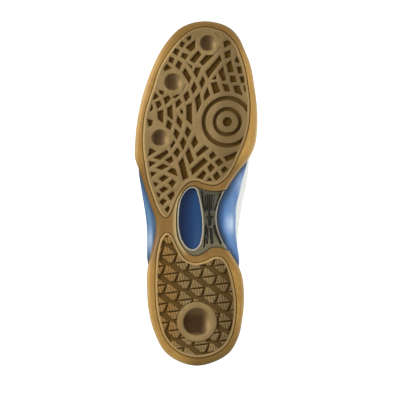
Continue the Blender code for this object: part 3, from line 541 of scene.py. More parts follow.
def sheet_of(loops, **marks):
    """Grid of faces placed on the rows of points, with its own chart; the ends of each row are joined.

    Marks are values in the same rows, kept at the vertices.
    """
    rows = ringed(np.array(loops, float))
    bm = bmesh.new()
    bm.loops.layers.uv.new("chart")
    bmesh.ops.create_grid(
        bm, x_segments=rows.shape[1] - 1, y_segments=rows.shape[0] - 1, size=0.5, calc_uvs=True)
    for v, p in zip(bm.verts, rows.reshape(-1, 3)):
        v.co = p
    marked(bm, **{name: ringed(values).ravel() for name, values in marks.items()})
    bmesh.ops.remove_doubles(bm, verts=bm.verts, dist=1e-5)
    return bm


def capped(bm):
    """Closes the open ends and turns all faces outward."""
    bmesh.ops.holes_fill(bm, edges=[e for e in bm.edges if e.is_boundary])
    bmesh.ops.recalc_face_normals(bm, faces=bm.faces)
    return bm


def level(curve, z):
    """Points of a flat curve at a height, or at one height each."""
    return np.column_stack([curve, np.broadcast_to(z, len(curve))])


def solid(name, bm):
    """Object made from the mesh, which is used up."""
    mesh = bpy.data.meshes.new(name)
    bm.to_mesh(mesh)
    bm.free()
    ob = bpy.data.objects.new(name, mesh)
    bpy.context.scene.collection.objects.link(ob)
    return ob


def cut(target, tools):
    """Takes the tools out of the target and returns the result as an open bmesh; all are used up."""
    for tool in tools:
        mod = target.modifiers.new("cut", "BOOLEAN")
        mod.operation = "DIFFERENCE"
        mod.solver = "EXACT"
        mod.object = tool
    bpy.context.view_layer.update()
    bm = bmesh.new()
    bm.from_object(target, bpy.context.evaluated_depsgraph_get())
    for ob in [target, *tools]:
        bpy.data.objects.remove(ob, do_unlink=True)
    return bm


def sliced(bm, faces, axis, stops):
    """Cuts the faces apart at the stops along an axis."""
    geom = list({part for f in faces for part in (f, *f.edges, *f.verts)})
    for stop in stops:
        geom = bmesh.ops.bisect_plane(bm, geom=geom, dist=1e-5, plane_co=axis * stop, plane_no=axis)["geom"]


def sprung(bm):
    """Lifts the mesh to follow the arch and the toe spring."""
    for v in bm.verts:
        v.co.z += float(base(v.co.x))


def piece(name, bm, finishes, slot, *nodes, crisp=40.0):
    """Lays the mesh down as a piece of the shoe; crisp is the angle from which an edge stays sharp."""
    bmesh.ops.transform(bm, matrix=LAY, verts=bm.verts)
    ob = solid(name, bm)
    for mat in finishes:
        ob.data.materials.append(mat)
    ob.data.shade_smooth()
    ob.data.set_sharp_from_angle(angle=math.radians(crisp))
    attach(ob, "root")
    if nodes:
        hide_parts(*nodes)
    return ob


def linear(code):
    """Linear colour of an sRGB hex value."""
    parts = [int(code[i:i + 2], 16) / 255.0 for i in (1, 3, 5)]
    return (*(c / 12.92 if c <= 0.04045 else ((c + 0.055) / 1.055) ** 2.4 for c in parts), 1.0)


class Finish:
    """Material under construction: its tree, its shader and the place on the standing shoe in mm.

    Patterns on that place have a scale of one over their real size in mm.
    """

    def __init__(self, name, **sockets):
        self.material = bpy.data.materials.new(name)
        self.material.use_nodes = True
        self.tree = self.material.node_tree
        self.shader = self.tree.nodes["Principled BSDF"]
        for key, value in sockets.items():
            self.shader.inputs[key.replace("_", " ")].default_value = value
        away = TURN.transposed()
        self.place = self.add("Mapping", {
            "Vector": self.add("TexCoord", out="Object"), "Scale": (1.0 / MM,) * 3,
            "Rotation": away.to_euler(), "Location": -(away @ Vector(LAY_SHIFT))})

    def add(self, kind, inputs=None, out=0, **settings):
        """Adds a node with its settings, values and links, and gives one of its outputs."""
        node = self.tree.nodes.new("ShaderNode" + kind)
        for name, value in settings.items():
            setattr(node, name, value)
        for key, value in (inputs or {}).items():
            if isinstance(value, bpy.types.NodeSocket):
                self.tree.links.new(value, node.inputs[key])
            else:
                node.inputs[key].default_value = linear(value) if isinstance(value, str) else value
        return node.outputs[out]

    def feed(self, **sockets):
        """Links sockets of the shader and gives the finished material."""
        for key, socket in sockets.items():
            self.tree.links.new(socket, self.shader.inputs[key.replace("_", " ")])
        return self.material


FACTOR, FIRST, SECOND, RESULT = 0, 6, 7, 2  # sockets of a colour mix
COLOURS = {"data_type": "RGBA"}
SOFT = {"interpolation_type": "SMOOTHSTEP"}


def gum_rubber():
    """Moulded gum rubber: honey brown, satin, darker at waist; painted highlights on edges, painted shade at
    the ends.
    """
    f = Finish("gum_rubber", IOR=1.52, Specular_IOR_Level=0.22)
    along, across = (f.add("SeparateXYZ", {"Vector": f.place}, axis) for axis in "XY")
    clouds, specks, grain = (
        f.add("TexNoise", {"Vector": f.place, "Scale": 1.0 / size, "Detail": detail})
        for size, detail in ((22.0, 2.0), (3.0, 4.0), (0.9, 3.0)))
    few = f.add("MapRange", {"Value": specks, "From Min": 0.45, "From Max": 0.8, "To Max": 0.3}, **SOFT)
    edge, beside = (
        f.add("Attribute", out="Fac", attribute_name=name) for name in ("thin_edge", "notch_edge"))
    # Soft steps of tone over the sole: direction, mm where they start and end, strength
    heelward, toeward, outer, inward, ball, low, toe, back, side = (
        f.add("MapRange", {"Value": way, "From Min": start, "From Max": end, "To Max": most}, **SOFT)
        for way, start, end, most in (
            (along, 78.0, 98.0, 0.75), (along, 184.0, 164.0, 1.0), (across, 0.0, -12.0, 1.0),
            (across, 30.0, 48.0, 1.0), (along, 158.0, 185.0, 0.17), (along, 232.0, 196.0, 1.7),
            (along, 252.0, 292.0, 0.7), (along, 46.0, 4.0, 0.8), (across, -18.0, 4.0, 1.0)))
    waist, inner, heel = (
        f.add("Math", {0: a, 1: b}, operation="MULTIPLY")
        for a, b in ((heelward, toeward), (inward, ball), (back, side)))
    stout = f.add("Math", {0: waist, 1: outer}, operation="MULTIPLY")
    thin = f.add("MapRange", {"Value": stout, "From Max": 0.75, "To Min": 0.35, "To Max": 0.0})
    glow = f.add("Math", {0: edge, 1: thin}, operation="MULTIPLY")
    pale = f.add("Math", {0: inner, 1: low}, operation="MULTIPLY")
    pale = f.add("Math", {0: pale, 1: edge}, operation="MULTIPLY")
    # glow, beside, inner and pale are painted highlights on the thin edge, the notch edge and the inner side;
    # toe and heel are painted shade at the two ends
    colour = "#7A5820"
    for factor, tone in (
            (clouds, "#9A763A"), (few, "#AE8C52"), (waist, "#644821"), (beside, "#9C875C"),
            (glow, "#D2B27A"), (inner, "#CFA75E"), (pale, "#E3C696"), (toe, "#4F370C"), (heel, "#57400F")):
        colour = f.add("Mix", {FACTOR: factor, FIRST: colour, SECOND: tone}, RESULT, **COLOURS)
    rough = f.add("MapRange", {"Value": specks, "To Min": 0.38, "To Max": 0.62})
    bump = f.add("Bump", {"Height": grain, "Distance": 0.06 * MM})
    return f.feed(Base_Color=colour, Roughness=rough, Normal=bump)


def tread_rubber():
    """Scuffed gum rubber: dull olive tan on worn lands; painted shade in recesses and bowls, painted
    highlights; smooth in the bowls.
    """
    f = Finish("tread_rubber", IOR=1.52)
    along, across = (f.add("SeparateXYZ", {"Vector": f.place}, axis) for axis in "XY")
    clouds, scuffs, grain = (
        f.add("TexNoise", {"Vector": f.place, "Scale": 1.0 / size, "Detail": detail})
        for size, detail in ((16.0, 3.0), (2.2, 4.0), (0.8, 3.0)))
    recess, lip, bowl = (
        f.add("Attribute", out="Fac", attribute_name=name) for name in ("recess", "lip", "bowl"))
    few = f.add("MapRange", {"Value": scuffs, "From Min": 0.5, "From Max": 0.8, "To Max": 0.4}, **SOFT)
    # painted shade where the recess mark is set
    painted_shade = f.add("MapRange", {"Value": recess, "From Min": 0.02, "From Max": 0.75}, **SOFT)
    # Soft steps of tone over the pads: direction, mm where they start and end, first and last strength
    inward, rim, toe, outer, back = (
        f.add("MapRange", {
            "Value": way, "From Min": start, "From Max": end, "To Min": least, "To Max": most}, **SOFT)
        for way, start, end, least, most in (
            (across, 12.0, 27.0, 0.0, 0.75), (across, 46.0, 33.0, 0.3, 1.0), (along, 266.0, 284.0, 0.0, 0.6),
            (across, -6.0, -24.0, 0.0, 0.6), (along, 124.0, 114.0, 0.0, 1.0)))
    band = f.add("Math", {0: inward, 1: rim}, operation="MULTIPLY")
    # a darker band on the inner forefoot, and painted shade toward the toe
    darker_band_and_toe_shade = f.add("Math", {0: band, 1: toe}, operation="MAXIMUM")
    heel = f.add("Math", {0: outer, 1: back}, operation="MULTIPLY")
    colour = "#64502B"
    # lip paints highlights on the pads' edges and the bowls' inner sides; the bowl and recess marks paint
    # shade
    for factor, tone in (
            (clouds, "#877049"), (few, "#534021"), (darker_band_and_toe_shade, "#5A4727"), (heel, "#835D24"),
            (lip, "#977C4D"), (bowl, "#352312"), (painted_shade, "#402C0A")):
        colour = f.add("Mix", {FACTOR: factor, FIRST: colour, SECOND: tone}, RESULT, **COLOURS)
    rough = f.add("MapRange", {"Value": scuffs, "To Min": 0.5, "To Max": 0.72})
    dull = f.add("Math", {0: painted_shade, 1: bowl}, operation="MAXIMUM")
    shine = f.add("Mix", {0: dull, 2: 0.2, 3: 0.04})
    bump = f.add("Bump", {"Height": grain, "Distance": 0.08 * MM})
    return f.feed(Base_Color=colour, Roughness=rough, Specular_IOR_Level=shine, Normal=bump)


def shank_plastic():
    """Moulded plastic of the waist: warm grey, satin, painted shade in its sunk strips, pale at its foot and
    edges.
    """
    f = Finish("shank_plastic", Roughness=0.42, IOR=1.5, Specular_IOR_Level=0.3)
    along = f.add("SeparateXYZ", {"Vector": f.place})
    clouds, grain = (
        f.add("TexNoise", {"Vector": f.place, "Scale": 1.0 / size, "Detail": detail})
        for size, detail in ((9.0, 2.0), (0.7, 3.0)))
    recess, edge = (f.add("Attribute", out="Fac", attribute_name=name) for name in ("recess", "pale_edge"))
    foot = f.add("MapRange", {"Value": along, "From Min": 116.0, "From Max": 104.0}, **SOFT)
    colour = "#353224"
    # recess paints shade into the sunk strips and the panel
    for factor, tone in ((clouds, "#494534"), (foot, "#59533C"), (recess, "#14120C"), (edge, "#938C79")):
        colour = f.add("Mix", {FACTOR: factor, FIRST: colour, SECOND: tone}, RESULT, **COLOURS)
    bump = f.add("Bump", {"Height": grain, "Distance": 0.04 * MM})
    return f.feed(Base_Color=colour, Normal=bump)


def window_foam():
    """Lacquered foam behind the window: navy, with painted shade toward the outer side, with a sharp gloss.
    """
    f = Finish("window_foam", Roughness=0.35, IOR=1.5, Specular_IOR_Level=0.12)
    across = f.add("SeparateXYZ", {"Vector": f.place}, "Y")
    # painted shade darkens the outer side of the window
    inner = f.add("MapRange", {"Value": across, "From Min": -10.0, "From Max": 4.0}, **SOFT)
    colour = f.add("Mix", {FACTOR: inner, FIRST: "#12264A", SECOND: "#213B5E"}, RESULT, **COLOURS)
    peel = f.add("TexNoise", {"Vector": f.place, "Scale": 1.0 / 2.0})
    bump = f.add("Bump", {"Height": peel, "Distance": 0.03 * MM})
    return f.feed(Base_Color=colour, Normal=bump)


def midsole_foam():
    """Moulded foam with a painted skin: glossy blue; painted shade on the outer side and in the crease,
    painted highlights.
    """
    f = Finish("midsole_foam", IOR=1.5, Specular_IOR_Level=0.3, Coat_Weight=0.2, Coat_Roughness=0.15)
    across = f.add("SeparateXYZ", {"Vector": f.place}, "Y")
    inner = f.add("MapRange", {"Value": across, "From Min": -20.0, "From Max": 20.0}, **SOFT)
    crest, crease = (f.add("Attribute", out="Fac", attribute_name=name) for name in ("crest", "crease"))
    # the outer side is painted duller as shade, crest paints highlights and crease paints shade beside the
    # gum
    colour = "#4C6C8C"
    for factor, tone in ((inner, "#426EA2"), (crest, "#C3D2E6"), (crease, "#223345")):
        colour = f.add("Mix", {FACTOR: factor, FIRST: colour, SECOND: tone}, RESULT, **COLOURS)
    clouds, peel = (
        f.add("TexNoise", {"Vector": f.place, "Scale": 1.0 / size, "Detail": detail})
        for size, detail in ((5.0, 3.0), (1.1, 2.0)))
    rough = f.add("MapRange", {"Value": clouds, "To Min": 0.25, "To Max": 0.45})
    bump = f.add("Bump", {"Height": peel, "Distance": 0.05 * MM})
    return f.feed(Base_Color=colour, Roughness=rough, Normal=bump)


def upper_leather():
    """Coated synthetic leather: white pebbled overlays on pale grey knit; side panels of matt silver foil."""
    f = Finish("upper_leather", IOR=1.48)
    clouds = f.add("TexNoise", {"Vector": f.place, "Scale": 1.0 / 30.0})
    panel, overlay = (
        f.add("Attribute", out="Fac", attribute_name=name) for name in ("side_panel", "overlay"))
    foil, laid = (
        f.add("MapRange", {"Value": depth, "From Min": -0.3, "From Max": 0.3}, **SOFT)
        for depth in (panel, overlay))
    chart = f.add("Mapping", {
        "Vector": f.add("TexCoord", out="UV"), "Scale": (len(UPPER_ROWS) * ROW_MM, LEVEL_MM, 1.0)})
    knit = f.add("TexVoronoi", {
        "Vector": chart, "Scale": 1.0 / KNIT_LOOP, "Randomness": 0.15}, voronoi_dimensions="2D")
    yarn = f.add("MapRange", {"Value": knit, "From Min": 0.22, "From Max": 0.4}, **SOFT)
    white = f.add("Mix", {FACTOR: clouds, FIRST: "#CBCCC9", SECOND: "#D9DAD7"}, RESULT, **COLOURS)
    colour = "#98A0A9"
    for factor, tone in ((yarn, "#BDC3C8"), (foil, "#A7B1BB"), (laid, white)):
        colour = f.add("Mix", {FACTOR: factor, FIRST: colour, SECOND: tone}, RESULT, **COLOURS)
    plain = f.add("Math", {0: 1.0, 1: laid}, operation="SUBTRACT")
    metal = f.add("Math", {0: foil, 1: plain}, operation="MULTIPLY")
    metal = f.add("Math", {0: metal, 1: 0.4}, operation="MULTIPLY")
    rough = f.add("MapRange", {"Value": clouds, "To Min": 0.42, "To Max": 0.58})
    cells = f.add("TexVoronoi", {"Vector": f.place, "Scale": 1.0 / 1.3}, feature="DISTANCE_TO_EDGE")
    pebbles = f.add("MapRange", {"Value": cells, "From Max": 0.35}, **SOFT)
    covered = f.add("Math", {0: foil, 1: laid}, operation="MAXIMUM")
    relief = f.add("Mix", {0: covered, 2: yarn, 3: pebbles})
    bump = f.add("Bump", {"Height": relief, "Distance": 0.15 * MM, "Strength": 0.6})
    return f.feed(Base_Color=colour, Metallic=metal, Roughness=rough, Normal=bump)


def looped_cloth(name, rough, loop, spread, crown, hollow, deep):
    """Knitted cloth: matt, with a soft sheen; loop and deep are the size and depth of its loops in mm."""
    f = Finish(name, Roughness=rough, Sheen_Weight=0.3)
    loops = f.add("TexVoronoi", {"Vector": f.place, "Scale": 1.0 / loop, "Randomness": spread})
    sunk = f.add("MapRange", {"Value": loops, "From Max": 0.6}, **SOFT)
    colour = f.add("Mix", {FACTOR: sunk, FIRST: crown, SECOND: hollow}, RESULT, **COLOURS)
    bump = f.add("Bump", {"Height": sunk, "Distance": deep * MM}, invert=True)
    return f.feed(Base_Color=colour, Normal=bump)


def lining_cloth():
    """Knitted lining: navy, matt, small loops."""
    return looped_cloth(
        "lining_cloth", rough=0.9, loop=1.1, spread=1.0, crown="#2B3C5F", hollow="#141D33", deep=0.25)


def insole_cloth():
    """Brushed knit on the footbed: dark blue grey, matt."""
    return looped_cloth(
        "insole_cloth", rough=0.95, loop=1.2, spread=0.4, crown="#41506E", hollow="#232D45", deep=0.2)


def tongue_cloth():
    """Air mesh over foam: white, open round holes, soft."""
    f = Finish("tongue_cloth", Roughness=0.85, Sheen_Weight=0.25)
    chart = f.add("Mapping", {"Vector": f.add("TexCoord", out="UV"), "Scale": (*TONGUE_CHART, 1.0)})
    holes = f.add("TexVoronoi", {
        "Vector": chart, "Scale": 1.0 / MESH_HOLE, "Randomness": 0.15}, voronoi_dimensions="2D")
    yarn = f.add("MapRange", {"Value": holes, "From Min": 0.2, "From Max": 0.36}, **SOFT)
    colour = f.add("Mix", {FACTOR: yarn, FIRST: "#828B96", SECOND: "#D3D5D4"}, RESULT, **COLOURS)
    bump = f.add("Bump", {"Height": yarn, "Distance": 0.4 * MM})
    return f.feed(Base_Color=colour, Normal=bump)


def lace_cloth():
    """Flat woven lace: white, herringbone of fine yarns that lean both ways from the middle."""
    f = Finish("lace_cloth", Roughness=0.85, Sheen_Weight=0.2)
    around, along = (
        f.add("SeparateXYZ", {"Vector": f.add("TexCoord", out="UV")}, axis) for axis in "XY")
    lean = f.add("Math", {0: around, 1: 0.25}, operation="PINGPONG")
    steep = f.add("Math", {0: lean, 1: LACE_LEAN}, operation="MULTIPLY")
    turns = f.add("Math", {0: along, 1: LACE_RUN / LACE_YARN, 2: steep}, operation="MULTIPLY_ADD")
    yarn = f.add("Math", {0: turns, 1: 0.5}, operation="PINGPONG")
    raised = f.add("MapRange", {"Value": yarn, "From Max": 0.4}, **SOFT)
    colour = f.add("Mix", {FACTOR: raised, FIRST: "#B4B9BD", SECOND: "#DEDFDD"}, RESULT, **COLOURS)
    bump = f.add("Bump", {"Height": raised, "Distance": 0.3 * MM})
    return f.feed(Base_Color=colour, Normal=bump)


def eyelet_enamel():
    """Enamelled eyelet ring: pale grey, glossy."""
    f = Finish("eyelet_enamel", Roughness=0.3, IOR=1.5, Coat_Weight=0.3)
    clouds = f.add("TexNoise", {"Vector": f.place, "Scale": 1.0 / 4.0})
    colour = f.add("Mix", {FACTOR: clouds, FIRST: "#949EA9", SECOND: "#BEC5CC"}, RESULT, **COLOURS)
    return f.feed(Base_Color=colour)


def stitch_thread():
    """Waxed sewing thread: pale grey, twisted."""
    f = Finish("stitch_thread", Roughness=0.6)
    twist = f.add("TexNoise", {"Vector": f.place, "Scale": 1.0 / 0.5})
    colour = f.add("Mix", {FACTOR: twist, FIRST: "#7F8A96", SECOND: "#A9B2BB"}, RESULT, **COLOURS)
    bump = f.add("Bump", {"Height": twist, "Distance": 0.05 * MM})
    return f.feed(Base_Color=colour, Normal=bump)


def floor_paper():
    """White sheet lit from below: plain, pale, matt."""
    f = Finish("floor_paper", Roughness=0.9, Emission_Strength=FLOOR_GLOW)
    fibres = f.add("TexNoise", {"Vector": f.place, "Scale": 1.0 / 60.0})
    colour = f.add("Mix", {FACTOR: fibres, FIRST: "#4C4C4C", SECOND: "#525252"}, RESULT, **COLOURS)
    return f.feed(Base_Color=colour)


def gum_outsole():
    """Gum cup: rim, wall and bridge, with the two seats, the notch and the hollow for the midsole."""
    step = GUM_RIM[-1][1]
    loops = [level(ladder(grown(GUM, -inset)), z) for inset, z in GUM_RIM]
    for inset, part in GUM_WALL:
        loop = ladder(grown(GUM, -inset))
        loops.append(level(loop, step + (height(loop[:, 0], WALL_TOP) + GAP - step) * part))
    body = solid("gum_body", capped(sheet_of(loops)))
    hollows = []
    for curve, gap, top in (
            (FOREFOOT, PAD_GAP, SEAT_TOP), (HEEL, PAD_GAP, SEAT_TOP), (NOTCH, GAP, NOTCH_TOP)):
        edge = grown(curve, gap)[::3]
        hollows.append(sheet_of([level(edge, HOLLOW_BOTTOM), level(edge, top)]))
    hollows.append(midsole_sheet(GAP, True))
    bm = cut(body, [solid("cutter", capped(hollow)) for hollow in hollows])
    sliced(bm, bm.faces, ALONG, SLICES)
    middles = [(f, f.calc_center_median()) for f in bm.faces]
    start, end, outer, inner, top = BRIDGE
    bridge = [f for f, m in middles if start < m.x < end and outer < m.y < inner and m.z < top]
    sliced(bm, bridge, ACROSS, BRIDGE_SLICES)
    points = plan(bm.verts)
    z = np.array([v.co.z for v in bm.verts])
    # Masks for the painted highlights along the thin outer edge and along the edge of the notch
    thin = smooth(3.2, 0.3, distance(points, GUM)[0]) * smooth(5.6, 4.6, z)
    beside = smooth(4.2, 0.6, distance(points, NOTCH)[0]) * smooth(2.6, 2.0, z)
    beside *= smooth(-3.0, -12.0, points[:, 1]) * smooth(152.0, 143.0, points[:, 0])
    marked(bm, thin_edge=thin, notch_edge=beside)
    sprung(bm)
    piece("gum_outsole", bm, [gum_rubber()], "gum_rubber", "outsole")


def pad_sheet(limits, holes, pitch):
    """Flat sheet of small squares inside the limits and outside the holes, with its rim on their curves."""
    low, high = limits[0].min(axis=0), limits[0].max(axis=0)
    span = high - low
    bm = bmesh.new()
    bmesh.ops.create_grid(bm, x_segments=round(span[0] / pitch), y_segments=round(span[1] / pitch), size=0.5)
    bmesh.ops.scale(bm, vec=(*span, 1.0), verts=bm.verts)
    bmesh.ops.translate(bm, vec=(*(low + high) / 2.0, 0.0), verts=bm.verts)
    middles = np.array([f.calc_center_median()[:2] for f in bm.faces])
    keep = np.ones(len(middles), bool)
    for curve in limits:
        keep &= within(middles, curve)
    for curve in holes:
        keep &= ~within(middles, curve)
    bmesh.ops.delete(bm, geom=[f for f, k in zip(bm.faces[:], keep) if not k], context="FACES")
    rim = []
    for curve in limits:
        for other in limits:
            if other is not curve:
                curve = curve[within(curve, other)]
        rim.append(curve)
    rim = np.vstack(rim + list(holes))
    edge = [v for v in bm.verts if v.is_boundary]
    for v, place in zip(edge, distance(plan(edge), rim)[1]):
        v.co.xy = place
    return bm, rim


def drawn_rim(bm):
    """Draws a new row of faces from the open rim and gives its vertices."""
    made = bmesh.ops.extrude_edge_only(bm, edges=[e for e in bm.edges if e.is_boundary])["geom"]
    return [g for g in made if isinstance(g, bmesh.types.BMVert)]


def raised_pad(bm, thickness):
    """Draws the upright wall of the shaped sheet, fills gaps in its rim and lifts it to follow the sole.

    The back, which lies hidden in the gum, stays open.
    """
    for v in drawn_rim(bm):
        v.co.z = thickness
    bmesh.ops.triangle_fill(bm, edges=[e for e in bm.edges if e.is_boundary], use_beauty=True)
    bmesh.ops.recalc_face_normals(bm, faces=bm.faces)
    sprung(bm)


def cup_relief(points, depth, shade, cup, moat, painted_shade):
    """Clears the ring of a suction cup and presses its bowl.

    Gives depth, shade, the painted shade in the bowl and the painted highlight on its inner side.
    """
    along, across, ring, bowl = (value * UNIT for value in cup)
    toeward, inward = (points - (along, across)).T / bowl
    r = np.hypot(points[:, 0] - along, points[:, 1] - across)
    clear = smooth(ring - 0.3, ring + 0.2, r)
    moat = moat * clear * smooth(ring + 0.9, ring + 0.3, r)
    dish = np.clip(1.0 - (r / bowl) ** 3, 0.0, 1.0)
    crown = -RING_CROWN[0] * np.exp(-((r - (ring + bowl) / 2.0) / RING_CROWN[1]) ** 2)
    depth = np.where(r < bowl, BOWL_DEPTH * dish, np.maximum(depth * clear, moat)) + crown
    shade = np.where(r < bowl, 0.0, np.maximum(shade * clear, moat))
    # painted shade in the bowl, darkest toward its outer side
    most, thick, outer = painted_shade
    painted_shade = most * smooth(1.0, thick, inward) * (outer + (1.0 - outer) * smooth(-1.0, -0.45, inward))
    painted_shade *= smooth(-1.2, -0.65, toeward) * (1.0 - 0.35 * smooth(0.2, 0.9, toeward))
    painted_shade *= smooth(1.0, 0.9, r / bowl)
    # painted highlight on the bowl's inner side
    lit_in, lit_on, half_wide, half_long = BOWL_HIGHLIGHT
    bowl_highlight = np.exp(-((inward - lit_in) / half_wide) ** 2 - ((toeward - lit_on) / half_long) ** 2)
    return depth, shade, painted_shade, bowl_highlight


def forefoot_relief(points):
    """Depth of the forefoot pattern in parts of the recess depth, its painted shade, and the painted shade
    and highlight of its bowls.
    """
    depth = np.zeros(len(points))
    for cell in FOREFOOT_CELLS:
        inside = corner_depth(points, [charted(*c) for c in cell])
        depth = np.maximum(depth, RIB_CROWN * smooth(-RIB_ROUND, -CELL_GROWTH + 0.2, inside))
        depth = np.maximum(depth, smooth(-CELL_GROWTH, CELL_RAMP - CELL_GROWTH, inside))
    for *stretch, half in CUP_GROOVES:
        near = strip_distance(points, *stretch)
        depth = np.maximum(depth, CUP_GROOVE_DEPTH * smooth(half * UNIT * 1.6, half * UNIT * 0.5, near))
    r = np.hypot(points[:, 0] - PIVOT[0] * UNIT, points[:, 1] - PIVOT[1] * UNIT) / UNIT
    depth *= smooth(PIVOT_DISC - 0.6, PIVOT_DISC + 0.2, r)
    for low, high in PIVOT_GROOVES:
        groove = smooth(low - 0.2, low + 0.7, r) if low else 1.0
        depth = np.maximum(depth, groove * smooth(high + 0.2, high - 0.7, r))
    # painted shade follows the depth of the pattern, less in the pivot's outer grooves
    shade = depth * np.where((r > PIVOT_HUB) & (r < PIVOT_DISC), PIVOT_SHADE, 1.0)
    bowls = np.zeros(len(points))
    bowl_highlight = np.zeros(len(points))
    for cup in SUCTION_CUPS:
        depth, shade, bowl, highlight = cup_relief(points, depth, shade, cup, FOREFOOT_MOAT, FOREFOOT_BOWL_SHADE)
        bowls = np.maximum(bowls, bowl)
        bowl_highlight = np.maximum(bowl_highlight, highlight)
    return depth, shade, bowls, bowl_highlight


def heel_relief(points):
    """Depth of the heel pattern in parts of the recess depth, its painted shade, and the painted shade and
    highlight of its bowl.
    """
    depth = np.ones(len(points))
    origin, step_a, step_b = (np.array(v) * UNIT for v in (LUG_ORIGIN, LUG_STEP_A, LUG_STEP_B))
    for i, j in np.ndindex(LUG_PAIRS):
        centre = origin + (i - LUG_FIRST) * step_a + (j - LUG_FIRST) * step_b
        near = np.nonzero(np.hypot(*(points - centre).T) < LUG_REACH)[0]
        local = points[near] - centre
        wave = (local[:, 1] + LUG_RIB_LEAN * local[:, 0]) / (LUG_RIB_PITCH * UNIT)
        groove = LUG_RIB_DEPTH * smooth(0.55, 0.95, np.abs(np.cos(math.pi * wave)))
        for lug in LUG_CORNERS:
            top = smooth(-0.5, 0.2, corner_depth(local, np.array(lug) * UNIT))
            depth[near] = np.minimum(depth[near], 1.0 - top * (1.0 - groove))
    # painted shade follows the depth of the pattern
    return cup_relief(points, depth, HEEL_SHADE * depth, HEEL_CUP, HEEL_MOAT, HEEL_BOWL_SHADE)


def tread_pad(name, curve, relief, pitch, node, finish):
    """Tread pad with its moulded pattern, a plain margin and a skirt in the groove round it."""
    bm, rim = pad_sheet([curve], [], pitch)
    points = plan(bm.verts)
    from_edge, _ = distance(points, rim)
    depth, shade, bowls, bowl_highlight = relief(points)
    field = smooth(*PAD_MARGIN, from_edge)
    depth = depth * field
    # painted highlight along the pad's edge, fading toward the toe
    lips = smooth(1.2, 0.5, from_edge) * smooth(0.3, 0.0, depth)
    lips *= 1.0 - 0.8 * smooth(268.0, 284.0, points[:, 0])
    soft_edge = PAD_ROUND * smooth(0.8, 0.0, from_edge)
    for v, d, s in zip(bm.verts, depth, soft_edge):
        v.co.z = d * RECESS_DEPTH + s
    # recess carries the painted shade, lip the painted highlights, bowl the painted shade of the bowls
    marked(bm, recess=shade * field, lip=np.maximum(lips, bowl_highlight), bowl=bowls)
    skirt = drawn_rim(bm)
    recess = bm.verts.layers.float["recess"]
    # the skirt in the groove gets painted shade
    for v, place in zip(skirt, distance(plan(skirt), grown(curve, SKIRT[0]))[1]):
        v.co = (*place, SKIRT[1])
        v[recess] = GROOVE_SHADE
    raised_pad(bm, PAD_DEPTH)
    piece(name, bm, [finish], "tread_rubber", node, crisp=75.0)


def shank_plate():
    """Waist plate with its window, raised pale edges and sunk strips."""
    bm, rim = pad_sheet([grown(NOTCH, -GAP / 2.0), INNER_SIDE], [WINDOW], SHANK_PITCH)
    points = plan(bm.verts)
    from_edge, from_window, from_side = (distance(points, curve)[0] for curve in (rim, WINDOW, INNER_SIDE))
    depth = PANEL_SUNK * smooth(-0.3, 0.3, corner_depth(points, [charted(*c) for c in SHANK_PANEL]))
    for *stretch, half in SHANK_STRIPS:
        near = strip_distance(points, *stretch)
        depth = np.maximum(depth, smooth(half * UNIT + 0.3, half * UNIT - 0.3, near))
    edge = smooth(1.0, 0.4, np.minimum(from_window - 0.5, from_side))
    rounded = smooth(0.6, 0.0, from_edge)
    for v, d, e, s in zip(bm.verts, depth, edge, rounded):
        v.co.z = SHANK_BOTTOM + STRIP_DEPTH * d - EDGE_RISE * e + EDGE_ROUND * s
    # recess carries the painted shade of the strips and the panel, less on the pale edges
    marked(bm, recess=depth * (1.0 - edge), pale_edge=edge)
    raised_pad(bm, FLOOR_TOP)
    piece("shank_plate", bm, [shank_plastic()], "shank_plastic", "shank", crisp=60.0)


def window_panel():
    """Hollowed navy face of the midsole inside the window."""
    bm, rim = pad_sheet([grown(WINDOW, -PLAY)], [], WINDOW_PITCH)
    from_edge, _ = distance(plan(bm.verts), rim)
    for v, hollow in zip(bm.verts, smooth(-2.0, 9.0, from_edge)):
        v.co.z = WINDOW_RIM + WINDOW_HOLLOW * hollow
    raised_pad(bm, WINDOW_BACK)
    piece("window_panel", bm, [window_foam()], "midsole_foam", crisp=50.0)


def midsole_sheet(grow, cavity):
    """Rows of the foam body; grown and open upward it serves as the tool for the gum cup."""
    loops = []
    for inset, part, tuck in MIDSOLE_SIDE if cavity else MIDSOLE_UNDER + MIDSOLE_SIDE:
        if cavity:
            tuck = 0.0
            if part > 0.6:
                inset, part = 0.0, part * 2.0
        loop = ladder(grown(MID, grow - inset))
        side = np.sign(loop[:, 1] - loop[:, 1].mean())
        loop[:, 1] -= side * hill(TUCK_STATIONS, loop[:, 0]) * tuck
        z = MIDSOLE_BOTTOM + (height(loop[:, 0], MIDSOLE_TOP) - MIDSOLE_BOTTOM) * part
        loops.append(level(loop, z - grow if part == 0.0 else z))
    return sheet_of(loops)


def foam_midsole():
    """Foam body, with painted shade in the crease beside the gum and painted highlights on its bulges."""
    bm = capped(midsole_sheet(0.0, False))
    points = plan(bm.verts)
    # painted shade in the crease beside the gum, a little weaker on the outer side, and painted highlights at
    # the spots
    inner = smooth(10.0, 20.0, points[:, 1])
    crease = smooth(CREASE_WIDE, 0.0, distance(points, GUM)[0]) * (0.85 + 0.15 * inner)
    crest = np.zeros(len(points))
    for along, across, long, wide, strength in HIGHLIGHT_SPOTS:
        away = np.hypot((points[:, 0] - along) / long, (points[:, 1] - across) / wide)
        crest = np.maximum(crest, strength * np.exp(-away ** 2))
    marked(bm, crease=crease, crest=crest)
    sliced(bm, bm.faces, ALONG, SLICES)
    sprung(bm)
    piece("foam_midsole", bm, [midsole_foam()], "midsole_foam", "midsole", crisp=50.0)


